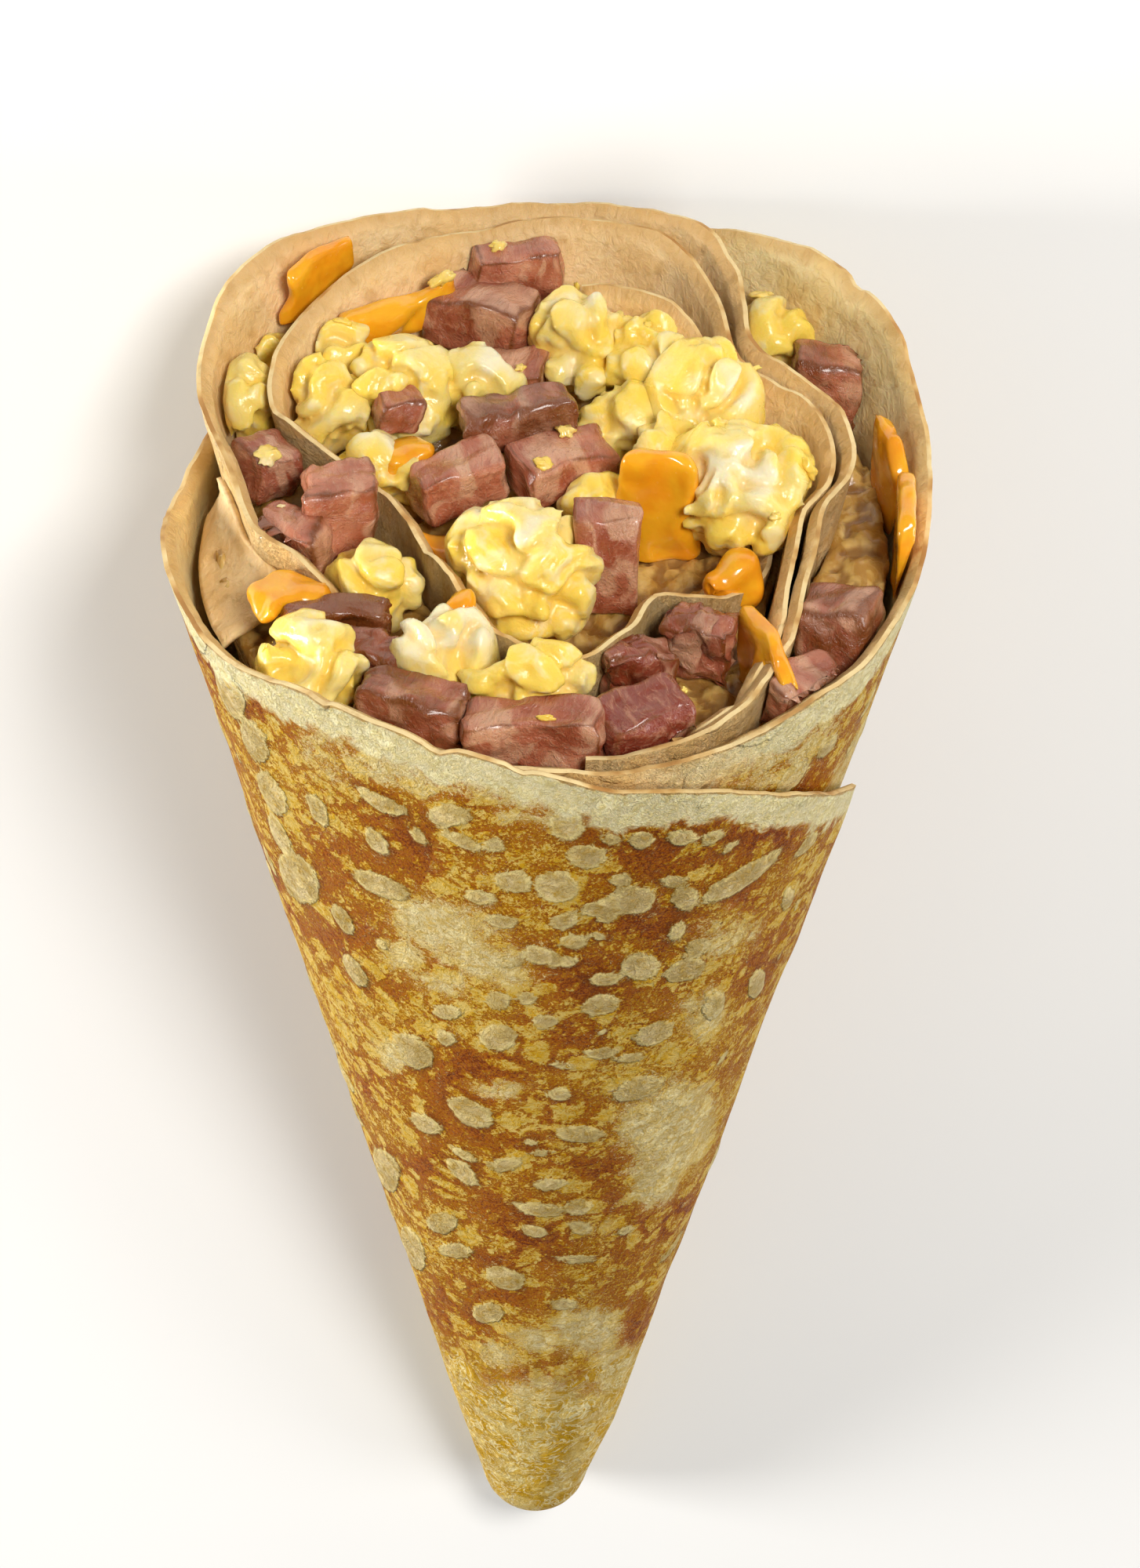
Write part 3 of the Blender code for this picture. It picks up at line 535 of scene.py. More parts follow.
def oval_reach(flat, mark):
    """Distance from an oval's centre in half-axes, for each place of the unrolled sheet."""
    centre, one, two = mark
    base = np.array([[one.x, two.x], [one.y, two.y]])
    local = (flat - np.array([centre.x, centre.y])) @ np.linalg.inv(base).T
    return np.sqrt((local ** 2).sum(1)), min(one.length, two.length)


def store_marks(made):
    """Write blister distance, toast and paleness on the corners of a sheet."""
    ups = read_floats(made, "up")
    angle = np.radians(read_floats(made, "along")) * math.sin(HALF_ANGLE)
    flat = np.stack([ups * np.cos(angle), ups * np.sin(angle)], 1)
    nearest = np.full(len(ups), 3.0)
    for mark in blisters:
        reach, size = oval_reach(flat, mark)
        nearest = np.minimum(nearest, (reach - 1.0) * size)
    store_floats(made, "blister", nearest)
    for label, marks, power in (("toast", toasted, 2), ("pale", pale, 3)):
        strongest = np.zeros(len(ups))
        for mark, strength in marks:
            reach, _ = oval_reach(flat, mark)
            strongest = np.maximum(strongest, strength * np.exp(-(reach / 1.15) ** power))
        store_floats(made, label, strongest)
    return nearest


def wavy(place):
    """Slow wave of the sheet at a place of the cone, the same in every turn."""
    bearing = math.atan2(place.y, place.x)
    spot = Vector((math.cos(bearing) * 3.0, math.sin(bearing) * 3.0, place.z * 0.028))
    return noise.noise(spot) * 0.42 + noise.noise(spot * 2.6 + Vector((5, 2, 8))) * 0.20


def lift_sheet(made, nearest):
    """Move the corners outward by waves, blisters and fine creases."""
    mesh = made.data
    normals = [Vector(v.vector) for v in mesh.vertex_normals]
    along = read_floats(made, "along").tolist()
    for vert, normal, gap in zip(mesh.vertices, normals, nearest):
        fade = min(max((vert.co.z - 34) / 20, 0.0), 1.0)
        dome = BLISTER_RISE * min(max(-gap / 1.2, 0.0), 1.0) ** 0.6
        spot = Vector((along[vert.index] * 0.30, vert.co.z * 0.14, 2.0))
        crease = noise.noise(spot) * 0.10
        vert.co = vert.co + normal * (wavy(vert.co) + crease + dome) * fade
    mesh.update()


for made in (outer_wrap, inner_fold):
    lift_sheet(made, store_marks(made))
print("marks stored on", len(outer_wrap.data.vertices) + len(inner_fold.data.vertices), "corners")

# %% [markdown]
# A Solidify modifier gives the sheet its thickness inwards, thinner towards every rim, and puts
# the pale side on a second material. Deep inside the first turn nobody sees the inner face, so
# it is thinned out there with the decimate operator.

# %% Thickness
PALE_INDEX = 1
RIM_INDEX = 2
RIM_SHARE = 0.38


def add_thickness(made):
    """Closed sheet of its real thickness with a thinner rim."""
    mesh = made.data
    edges = {}
    for face in mesh.polygons:
        for key in face.edge_keys:
            edges[key] = edges.get(key, 0) + 1
    rim = {v for key, uses in edges.items() if uses == 1 for v in key}
    group = made.vertex_groups.new(name="full")
    group.add([v.index for v in mesh.vertices if v.index not in rim], 1.0, "REPLACE")
    group.add(sorted(rim), RIM_SHARE, "REPLACE")
    wall = made.modifiers.new("wall", "SOLIDIFY")
    wall.thickness = SHEET
    wall.offset = -1.0
    wall.vertex_group = "full"
    wall.material_offset = PALE_INDEX
    wall.material_offset_rim = RIM_INDEX
    only(made)
    bpy.ops.object.modifier_apply(modifier="wall")
    made.vertex_groups.clear()


def hidden_lining(face, turns):
    """True on the inner face where the next turn hides it."""
    return face.material_index == PALE_INDEX and 4 < turns[0] < 356 and face.center.z < 154


for made in (outer_wrap, inner_fold):
    for finish in ("browned_side", "pale_side", "torn_rim"):
        made.data.materials.append(bpy.data.materials.get(finish) or bpy.data.materials.new(finish))
    add_thickness(made)
pick_faces(outer_wrap, hidden_lining)
with editing(outer_wrap, everything=False):
    bpy.ops.mesh.decimate(ratio=0.06)
for made in (outer_wrap, inner_fold):
    made.data.transform(LIE_DOWN)
    for vert in made.data.vertices:
        vert.co.z = max(vert.co.z, 0.0)
    only(made)
    bpy.ops.object.shade_smooth_by_angle(angle=math.radians(50))
    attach(made, "root")
    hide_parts("crepe")
    print(made.name, "triangles:", sum(len(p.vertices) - 2 for p in made.data.polygons))

# %% [markdown]
# ## Writing finishes
# A finish is a small tree of shader nodes. The helper below keeps each tree readable: every
# call adds one node and returns its output, and numbers or other outputs go into its sockets.

# %% A helper for node materials


class Finish:
    """A node material written one step to a line."""

    def __init__(self, name):
        self.material = bpy.data.materials.get(name) or bpy.data.materials.new(name)
        self.material.use_nodes = True
        self.tree = self.material.node_tree
        self.shader = self.tree.nodes["Principled BSDF"]

    def add(self, kind, sockets, output=0, **settings):
        node = self.tree.nodes.new(kind)
        for key, value in settings.items():
            setattr(node, key, value)
        for key, value in sockets.items():
            self.feed(node.inputs[key], value)
        return node.outputs[output]

    def feed(self, socket, value):
        if isinstance(value, bpy.types.NodeSocket):
            self.tree.links.new(value, socket)
        elif isinstance(value, tuple) and len(value) == 3 and socket.type == "RGBA":
            socket.default_value = (*value, 1.0)
        else:
            socket.default_value = value

    def math(self, operation, a, b=0.0, c=0.0):
        return self.add("ShaderNodeMath", {0: a, 1: b, 2: c}, operation=operation)

    def weigh(self, value, factor, base):
        """The base plus the value times a factor."""
        return self.math("MULTIPLY_ADD", value, factor, base)

    def times(self, one, other):
        return self.math("MULTIPLY", one, other)

    def sum(self, base, *weighed):
        """The base plus each value times its factor."""
        for value, factor in weighed:
            base = self.weigh(value, factor, base)
        return base

    def ripple(self, *noise_settings):
        """Noise about zero, between -0.5 and 0.5."""
        return self.math("SUBTRACT", self.noise(*noise_settings), 0.5)

    def object_place(self):
        """Object coordinates in millimetres."""
        place = self.add("ShaderNodeTexCoord", {}, output="Object")
        return self.add("ShaderNodeVectorMath", {0: place, "Scale": 1000.0}, operation="SCALE")

    def sheet_place(self):
        """Place on the unrolled sheet in millimetres."""
        place = self.add("ShaderNodeUVMap", {}, uv_map="unrolled")
        return self.add("ShaderNodeVectorMath", {0: place, "Scale": 100.0}, operation="SCALE")

    def stored(self, label):
        return self.add("ShaderNodeAttribute", {}, output="Fac", attribute_name=label)

    def noise(self, place, scale, detail=3.0, roughness=0.55, distortion=0.0, output=0):
        sockets = {"Vector": place, "Scale": scale, "Detail": detail, "Roughness": roughness,
                   "Distortion": distortion}
        return self.add("ShaderNodeTexNoise", sockets, output=output)

    def warped(self, place, scale, amount):
        """The place pushed about by noise."""
        drift = self.noise(place, scale, 2.0, output="Color")
        drift = self.add("ShaderNodeVectorMath", {0: drift, 1: (0.5, 0.5, 0.5)}, operation="SUBTRACT")
        drift = self.add("ShaderNodeVectorMath", {0: drift, "Scale": amount}, operation="SCALE")
        return self.add("ShaderNodeVectorMath", {0: place, 1: drift}, operation="ADD")

    def cells(self, place, scale, feature="F1", output="Distance"):
        return self.add("ShaderNodeTexVoronoi", {"Vector": place, "Scale": scale}, output=output,
                        feature=feature)

    def step(self, value, low, high, top=1.0):
        """0 below low and top above high, with a soft change between."""
        return self.add("ShaderNodeMapRange", {"Value": value, "From Min": low, "From Max": high,
                                               "To Min": 0.0, "To Max": top},
                        interpolation_type="SMOOTHSTEP")

    def blend(self, share, below, above, mode="MIX"):
        """One colour over another."""
        node = self.tree.nodes.new("ShaderNodeMix")
        node.data_type = "RGBA"
        node.blend_type = mode
        self.feed(node.inputs["Factor"], share)
        self.feed(node.inputs[6], below)
        self.feed(node.inputs[7], above)
        return node.outputs[2]

    def layers(self, colour, *coats):
        """Coats laid over a colour, each given as its share and its own colour."""
        for share, coat in coats:
            colour = self.blend(share, colour, coat)
        return colour

    def bump(self, height, distance, strength=1.0, below=None):
        sockets = {"Height": height, "Distance": distance, "Strength": strength}
        if below is not None:
            sockets["Normal"] = below
        return self.add("ShaderNodeBump", sockets)

    def set(self, **sockets):
        for key, value in sockets.items():
            self.feed(self.shader.inputs[key.replace("_", " ")], value)


print("finish helper ready")

# %% [markdown]
# ## The browned side
# The outside shows cream batter under golden toasting, red-brown where it browned most, with
# a fine bubbly grain. Raised blisters stay pale, each with a thin painted highlight along its
# edge, standing in for light on its raised lip, and a browner valley round it. All of it is laid
# over the unrolled sheet.

# %% Browned side: heat
skin = Finish("browned_side")
place = skin.sheet_place()
bent = skin.warped(place, 0.3, 2.6)
slow = skin.ripple(bent, 0.055, 2.0, 0.5)
patchy = skin.ripple(bent, 0.24, 4.0, 0.65, 0.5)
fine = skin.ripple(bent, 0.95, 4.0, 0.7, 0.7)
grain = skin.ripple(place, 2.6, 3.0, 0.75, 0.4)
near_rim = skin.stored("rim")
rim_wave = skin.sum(near_rim, (patchy, 9.0), (slow, 6.0))
rim_band = skin.step(rim_wave, 7.0, 5.0)


def spared_cells(drifted, scale, edge, shade):
    """Seeded cells that the pan touched less, with soft borders."""
    gap = skin.cells(drifted, scale, "DISTANCE_TO_EDGE")
    return skin.times(skin.step(gap, *edge), skin.step(skin.cells(drifted, scale, output="Color"), *shade))


cell_place = skin.warped(skin.warped(place, 0.35, 3.0), 1.3, 1.0)
large_cells = spared_cells(cell_place, 0.25, (0.06, 0.20), (0.44, 0.54))
small_cells = spared_cells(skin.warped(place, 0.9, 1.3), 0.55, (0.04, 0.20), (0.50, 0.60))
dot_place = skin.warped(place, 1.5, 0.8)
dots = skin.times(skin.step(skin.cells(dot_place, 1.9), 0.42, 0.22),
                  skin.step(skin.cells(dot_place, 1.9, output="Color"), 0.50, 0.56))
heat = skin.weigh(skin.stored("toast"), 0.75, 0.30)
heat = skin.sum(heat, (slow, 1.5), (patchy, 2.1), (fine, 1.5), (skin.step(rim_wave, 12.0, 7.5), 0.35))
heat = skin.sum(skin.math("ADD", heat, 0.18), (large_cells, -0.95), (small_cells, -0.65), (grain, 4.2),
                (dots, 0.42))
tone = skin.blend(skin.step(fine, -0.12, 0.14), (0.67, 0.52, 0.22), (0.59, 0.39, 0.10))
colour = skin.layers(
    tone,
    (skin.step(heat, -0.05, 0.36, 0.95), (0.54, 0.265, 0.030)),
    (skin.step(heat, 0.32, 0.95, 0.94), (0.39, 0.125, 0.004)),
    (skin.step(heat, 0.90, 1.60, 0.9), (0.185, 0.035, 0.002)),
)
print("toasted colours:", len(skin.tree.nodes), "nodes so far")

# %% Browned side: blisters with their valleys, and painted highlights on their lips
edge_noise = skin.sum(skin.stored("blister"), (fine, 1.4), (patchy, 1.8))
valley = skin.times(skin.step(edge_noise, 1.2, 0.2), skin.step(heat, 0.25, 1.1, 0.6))
inside_blister = skin.step(edge_noise, 0.26, -0.22, 0.92)
bright_tone = skin.blend(skin.step(patchy, -0.12, 0.14), (0.56, 0.45, 0.235), (0.74, 0.63, 0.39))
blister_tone = skin.layers(
    bright_tone,
    (skin.step(fine, -0.08, 0.26), (0.50, 0.345, 0.110)),
    (skin.step(grain, 0.06, 0.22, 0.5), (0.42, 0.22, 0.036)),
)
# Painted highlight: a light ring just inside each blister's edge, where light would catch the raised lip.
painted_lip_highlight = skin.times(skin.step(edge_noise, -0.70, -0.30), skin.step(edge_noise, 0.10, -0.15))
painted_lip_highlight = skin.times(painted_lip_highlight, skin.step(patchy, -0.16, 0.06, 0.7))
colour = skin.layers(
    colour,
    (valley, (0.20, 0.062, 0.007)),
    (inside_blister, blister_tone),
    (painted_lip_highlight, (0.78, 0.67, 0.36)),
)
print("blisters:", len(skin.tree.nodes), "nodes so far")

# %% Browned side: pale patches, lower end and band along the rim
wan = skin.sum(skin.stored("pale"), (patchy, 1.9), (fine, 1.5), (grain, 1.3))
wan_tone = skin.blend(skin.step(fine, -0.10, 0.10), (0.80, 0.71, 0.45), (0.66, 0.51, 0.23))
low_end = skin.step(skin.sum(skin.stored("up"), (patchy, 44.0), (fine, 14.0)), 72.0, 58.0)
swirls = skin.ripple(skin.warped(place, 0.12, 9.0), 0.32, 3.0, 0.6, 1.5)
low_tone = skin.layers(
    skin.blend(skin.step(patchy, -0.10, 0.14), (0.61, 0.395, 0.085), (0.75, 0.60, 0.27)),
    (skin.step(skin.math("ADD", fine, grain), 0.08, 0.22, 0.8), (0.52, 0.30, 0.040)),
    (skin.step(skin.math("ABSOLUTE", swirls), 0.045, 0.008, 0.85), (0.88, 0.81, 0.54)),
)
band_tone = skin.blend(skin.step(fine, -0.14, 0.16), (0.88, 0.83, 0.59), (0.77, 0.69, 0.40))
band_tone = skin.blend(skin.step(grain, 0.05, 0.22, 0.4), band_tone, (0.52, 0.34, 0.10))
veins = skin.math("ABSOLUTE", skin.ripple(bent, 0.7, 3.0, 0.6, 1.2))
flecks = skin.times(skin.step(veins, 0.020, 0.004), skin.step(wan, 0.10, 0.45, 0.65))
specks = skin.math("GREATER_THAN", skin.noise(place, 0.9, 1.0, 0.3), 0.80)
colour = skin.layers(
    colour,
    (skin.step(wan, 0.30, 0.72, 0.92), wan_tone),
    (skin.times(low_end, 0.88), low_tone),
    (skin.times(rim_band, 0.9), band_tone),
    (skin.step(skin.weigh(patchy, 2.2, near_rim), 0.55, 0.2, 0.6), (0.40, 0.19, 0.04)),
    (flecks, (0.80, 0.72, 0.46)),
    (skin.times(specks, 0.6), (0.13, 0.05, 0.012)),
)
colour = skin.add("ShaderNodeGamma", {"Color": colour, "Gamma": 1.2})
colour = skin.add("ShaderNodeHueSaturation", {"Color": colour, "Saturation": 1.12, "Value": 1.02})
print("pale parts:", len(skin.tree.nodes), "nodes so far")

# %% Browned side: inner turns, relief and gloss
inner_turns = skin.step(skin.weigh(patchy, 30.0, skin.stored("along")), 392.0, 418.0)
inner_tone = skin.blend(skin.step(patchy, -0.12, 0.12), (0.87, 0.63, 0.31), (0.78, 0.51, 0.20))
inner_tone = skin.blend(skin.step(fine, 0.0, 0.2, 0.4), inner_tone, (0.54, 0.29, 0.08))
colour = skin.blend(inner_turns, colour, inner_tone)
height = skin.sum(skin.times(fine, 0.9), (inside_blister, 0.75), (skin.step(heat, 0.9, 0.1), 0.35),
                  (grain, 0.5), (patchy, 0.6))
skin.set(Base_Color=colour, Roughness=skin.step(fine, -0.6, 0.3, 0.62), Normal=skin.bump(height, 0.0008, 1.0),
         Specular_IOR_Level=0.05, Subsurface_Weight=0.06, Subsurface_Radius=(0.002, 0.001, 0.0004))
print("browned side:", len(skin.tree.nodes), "nodes")

# %% [markdown]
# The other side of the crepe stays cream, with faint tan mottling and small pores. The cut rim
# is a little more golden than both.

# %% Pale side and rim
cream = Finish("pale_side")
place = cream.sheet_place()
bent = cream.warped(place, 0.3, 3.0)
slow = cream.noise(bent, 0.09, 4.0, 0.6)
fine = cream.noise(bent, 0.8, 5.0, 0.65, 0.3)
mottled = cream.step(slow, 0.38, 0.66)
near_rim = cream.weigh(cream.math("SUBTRACT", slow, 0.5), 6.0, cream.stored("rim"))
peach = cream.blend(mottled, (0.92, 0.68, 0.36), (0.81, 0.53, 0.22))
colour = cream.layers(
    cream.blend(mottled, (0.88, 0.72, 0.38), (0.80, 0.59, 0.25)),
    (cream.step(cream.stored("along"), 440.0, 510.0), peach),
    (cream.step(fine, 0.46, 0.72, 0.4), (0.60, 0.36, 0.11)),
    (cream.step(cream.cells(place, 0.28, "SMOOTH_F1"), 0.26, 0.12, 0.35), (0.55, 0.31, 0.09)),
    (cream.step(near_rim, 2.2, 0.2, 0.6), (0.58, 0.32, 0.085)),
)
height = cream.weigh(fine, 0.6, cream.times(slow, 0.8))
cream.set(Base_Color=colour, Roughness=0.42, Normal=cream.bump(height, 0.0007, 0.9), Specular_IOR_Level=0.35,
          Subsurface_Weight=0.3, Subsurface_Radius=(0.004, 0.0025, 0.001))
torn = Finish("torn_rim")
place = torn.object_place()
slow = torn.noise(place, 0.11, 3.0, 0.6)
fine = torn.noise(place, 0.8, 3.0, 0.6)
colour = torn.layers(
    torn.blend(torn.step(slow, 0.44, 0.60), (0.84, 0.65, 0.32), (0.68, 0.42, 0.14)),
    (torn.step(slow, 0.54, 0.66, 0.8), (0.40, 0.165, 0.03)),
    (torn.step(fine, 0.5, 0.75, 0.4), (0.50, 0.26, 0.07)),
)
torn.set(Base_Color=colour, Roughness=0.6, Normal=torn.bump(fine, 0.0002, 0.4))
print("pale side:", len(cream.tree.nodes), "nodes, torn rim:", len(torn.tree.nodes))

# %% [markdown]
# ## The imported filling
# Between the turns of the sheet sits a bed of small curds, which shows in the gaps between the
# larger pieces. It could be scattered crumbs alone, but gaps would open into nothing, so each
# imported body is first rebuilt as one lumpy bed: copied, remeshed with even faces, and raised
# and sunk by cell noise. Only its upper part is kept.

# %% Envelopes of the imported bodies


def nearest_tree(made):
    """Search tree over a CAD node's faces, in the standing cone's millimetres."""
    mesh = made.data
    places = [STAND_UP @ v.co for v in mesh.vertices]
    return BVHTree.FromPolygons(places, [tuple(p.vertices) for p in mesh.polygons])


ham_names, egg_names, cheese_names, bed_names = (
    sorted(name for name in frame["nodes"] if name.startswith(kind))
    for kind in ("ham_", "egg_", "cheese_", "filling_"))
trees = {name: nearest_tree(made) for name, made in frame["nodes"].items()}
wall_tree = trees["crepe"]
print("pieces:", len(ham_names), "ham,", len(egg_names), "egg,", len(cheese_names), "cheese")


def outside_by(tree, place):
    """Distance outside a closed body, negative inside, and the nearest point on it."""
    spot, normal, _, distance = tree.find_nearest(place)
    return (distance if (place - spot).dot(normal) > 0 else -distance), spot


def keep_to(place, tree, reach, gap=0.35):
    """Pull a corner back so that it stays near its envelope and clear of the sheet."""
    beyond, spot = outside_by(tree, place)
    if beyond <= 0:
        return place
    allowed = min(reach, max(wall_tree.find_nearest(spot)[3] - gap, 0.05))
    if beyond <= allowed:
        return place
    return spot + (place - spot) * (allowed / beyond)


def as_piece(made, node, finish):
    """Lay a finished piece down with the cone, give it its finish and hide the node it replaces."""
    made.data.transform(LIE_DOWN)
    made.data.materials.clear()
    made.data.materials.append(bpy.data.materials.get(finish) or bpy.data.materials.new(finish))
    only(made)
    bpy.ops.object.shade_smooth()
    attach(made, "root")
    if node:
        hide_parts(node)
    return made


def standing_copy(node, name):
    """Copy of a CAD node in the standing cone's millimetres, with its corners merged."""
    made = frame["nodes"][node].copy()
    made.data = frame["nodes"][node].data.copy()
    made.name = name
    made.data.name = name
    for key in list(made.keys()):
        del made[key]
    made.parent = None
    bpy.context.scene.collection.objects.link(made)
    made.data.transform(STAND_UP)
    with editing(made):
        bpy.ops.mesh.remove_doubles(threshold=0.01)
    return made


def join_all(first, *others, name):
    """Join a few meshes into one, with its place in the mesh."""
    only(first, *others)
    bpy.ops.object.join()
    made = bpy.context.object
    made.name = name
    made.data.name = name
    bpy.ops.object.transform_apply(location=True, rotation=True, scale=True)
    return made


def soften(made, steps):
    """Smooth every corner towards its neighbours."""
    only(made)
    step = made.modifiers.new("soften", "SMOOTH")
    step.factor = 0.5
    step.iterations = steps
    bpy.ops.object.modifier_apply(modifier="soften")


def remesh(made, voxel, smooth_steps):
    """Even new faces over the whole piece, then a little smoothing."""
    only(made)
    step = made.modifiers.new("even_faces", "REMESH")
    step.mode = "VOXEL"
    step.voxel_size = voxel
    bpy.ops.object.modifier_apply(modifier="even_faces")
    soften(made, smooth_steps)


def store_folds(made, steps=12, reach=0.8):
    """Store how far each corner stands out of the softened surface: 0 in a crease, 1 on a lobe."""
    mesh = made.data
    count = len(mesh.vertices)
    places = np.zeros(count * 3)
    normals = np.zeros(count * 3, np.float32)
    pairs = np.zeros(len(mesh.edges) * 2, np.int32)
    mesh.vertices.foreach_get("co", places)
    mesh.vertex_normals.foreach_get("vector", normals)
    mesh.edges.foreach_get("vertices", pairs)
    places = places.reshape(-1, 3)
    one, two = pairs.reshape(-1, 2).T
    uses = np.maximum(np.bincount(one, minlength=count) + np.bincount(two, minlength=count), 1)
    soft = places
    for _ in range(steps):
        sums = [np.bincount(one, soft[two, k], count) + np.bincount(two, soft[one, k], count)
                for k in range(3)]
        soft = np.stack(sums, 1) / uses[:, None]
    out = ((places - soft) * normals.reshape(-1, 3)).sum(1)
    store_floats(made, "fold", np.clip(0.5 + out / reach, 0, 1))


# %% Beds of curd
BED_TOP = 9.8  # below the plane of the mouth
BED_DEPTH = 17.0
BED_VOXEL = 0.75


def lumpy(place, size):
    """Height of rounded lumps of about the given size, from 0 in the creases to 1."""
    near, _ = noise.voronoi(place / size, distance_metric="DISTANCE", exponent=2.5)
    return min((near[1] - near[0]) * 1.6, 1.0)


for node in bed_names:
    bed = standing_copy(node, "curd_bed_" + node[-1])
    with editing(bed):
        bpy.ops.mesh.bisect(plane_co=(0, 0, MOUTH_HEIGHT - BED_TOP - BED_DEPTH), plane_no=(0, -MOUTH_RISE, 1),
                            use_fill=True, clear_inner=True)
        bpy.ops.mesh.normals_make_consistent(inside=False)
    remesh(bed, BED_VOXEL, 1)
    for vert, normal in zip(bed.data.vertices, [Vector(v.vector) for v in bed.data.vertex_normals]):
        lump = lumpy(vert.co, 5.2) * 0.7 + lumpy(vert.co + Vector((9, 4, 2)), 2.4) * 0.3
        upward = max(normal.z, 0.0)
        vert.co = vert.co + Vector((0, 0, 3.0 * lump - 0.3)) * upward
        vert.co = keep_to(vert.co, trees[node], 3.0)
    store_folds(bed, 6)
    as_piece(bed, node, "egg_bed_painted_shade")
    print(bed.name, "faces:", len(bed.data.polygons))

# %% [markdown]
# ## Scrambled egg
# A curd is a soft cluster of small lobes, folded over each other and torn at the ends. Each one
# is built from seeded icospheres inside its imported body, joined, remeshed into one skin, and
# then worked over with noise: broad folds first, small wrinkles after. No corner leaves its
# envelope far enough to touch the sheet.

# %% Egg curds
EGG_VOXEL = 0.42


def lobes_inside(tree, low, high, rng, count):
    """Seeded places inside a body, each with how deep it lies."""
    found = []
    while len(found) < count:
        place = Vector([rng.uniform(low[k], high[k]) for k in range(3)])
        beyond, _ = outside_by(tree, place)
        if beyond < -0.4:
            found.append((place, -beyond))
    return found


for number, node in enumerate(egg_names):
    rng = random.Random(200 + number)
    places = [STAND_UP @ v.co for v in frame["nodes"][node].data.vertices]
    low = [min(p[k] for p in places) for k in range(3)]
    high = [max(p[k] for p in places) for k in range(3)]
    size = sum(high[k] - low[k] for k in range(3)) / 3
    core = standing_copy(node, "core")
    core.data.materials.clear()
    lobes = [core]
    for place, depth in lobes_inside(trees[node], low, high, rng, int(4 + size * 0.42)):
        radius = rng.uniform(2.2, 3.9) * min(size / 11, 1.15)
        bpy.ops.object.select_all(action="DESELECT")
        bpy.ops.mesh.primitive_ico_sphere_add(subdivisions=2, radius=radius, location=place,
                                              rotation=[rng.uniform(0, 3) for _ in range(3)])
        lobe = bpy.context.object
        lobe.scale = [rng.uniform(0.75, 1.35) for _ in range(3)]
        lobes.append(lobe)
    egg = join_all(*lobes, name="scrambled_" + node)
    remesh(egg, EGG_VOXEL, 7)
    shift = Vector([rng.uniform(0, 90) for _ in range(3)])
    for vert, normal in zip(egg.data.vertices, [Vector(v.vector) for v in egg.data.vertex_normals]):
        spot = vert.co + shift
        spot = spot + noise.noise_vector(spot * 0.15) * 3.0
        broad = min(abs(noise.noise(spot * 0.18)) * 2.5, 0.78) * 3.2
        small = min(abs(noise.noise(spot * 0.38 + Vector((7, 1, 4)))) * 2.2, 0.7) * 1.1
        pucker = noise.noise(spot * 0.8 + Vector((2, 9, 4))) * 0.32
        vert.co = vert.co + normal * (broad + small + pucker - 1.8)
        vert.co = keep_to(vert.co, trees[node], 1.7)
    remesh(egg, EGG_VOXEL * 0.95, 3)
    store_folds(egg)
    as_piece(egg, node, "egg_curd")
print("egg curds:", len(egg_names))

# %% [markdown]
# ## Diced ham
# A die of ham is a cube cut with a knife, so it starts as a cube primitive: subdivided, its
# corners rounded to a small radius, then skewed and roughened, because cooked meat shrinks
# unevenly. Corners store how near they are to a cut edge, where the frying pan browned them.

# %% Ham dice
# x, y, depth of the centre below the mouth, width, depth, height, turn, browning, redness, tearing
HAM = [
    (-5.4, 38.6, 2.6, 11.4, 5.2, 7.6, 8, 0.35, 0.15, 0), (-9, 33.2, 4.4, 13, 8, 7, -24, 0.45, 0.5, 0),
    (-18.8, 13.4, 1.4, 5.4, 4.2, 4.4, 20, 0.5, 0.4, 0), (-11.8, 4, 3, 11, 7.6, 6.8, 25, 0, 0.1, 0),
    (-4.6, 12.6, 1.8, 13.6, 5.6, 5.6, 16, 0.85, 0.5, 0.3),
    (1.4, 7.6, 4.4, 13, 7.6, 6.4, 28, 0.15, 0.25, 0), (-5, 24.4, 6, 8.4, 6.4, 6, -8, 0.4, 0.3, 0),
    (6, -8.6, 2.4, 7.8, 5.6, 14, -4, 0.1, 0.45, 0), (-1.4, -35, 3, 16, 6.6, 7.6, -3, 0.25, 0.35, 0),
    (10.9, -33.6, 2.6, 10.4, 8, 8.6, 20, 0.2, 0.9, 0), (10.4, -23.6, 4.8, 8.6, 5, 8, 14, 0.5, 0.85, 1),
    (17.4, -19.4, 4.6, 8.4, 6, 9, -18, 0.5, 0.6, 0.8), (-34.6, 7.6, 5, 6, 7.4, 6.6, 30, 0.3, 0.55, 0),
    (-25.8, -1.2, 3, 8.8, 8, 9.6, 14, 0.25, 0.1, 0.2), (-30.6, -5.6, 4.6, 8, 8, 8.6, -18, 0.4, 0.2, 0.2),
    (-25.2, -18.8, 3.2, 12.6, 3.6, 4.8, 4, 1.1, 0.5, 0.4),
    (-20.6, -24.4, 4, 8.8, 5.2, 6.4, -14, 0.75, 0.6, 0.5),
    (-15.8, -32, 3, 12.4, 7.4, 7.8, -12, 0.6, 0.5, 0.2),
    (33.2, 25.6, 7.6, 8.6, 6.4, 11, -8, 0.55, 0.2, 0), (34, -17.2, 4.6, 9.6, 8.4, 9, -14, 0.7, 0.5, 0),
    (29.4, -27.6, 4.6, 8.8, 7.4, 8.2, 32, 0.4, 0.35, 0),
]
BLOCK_CUTS = 23


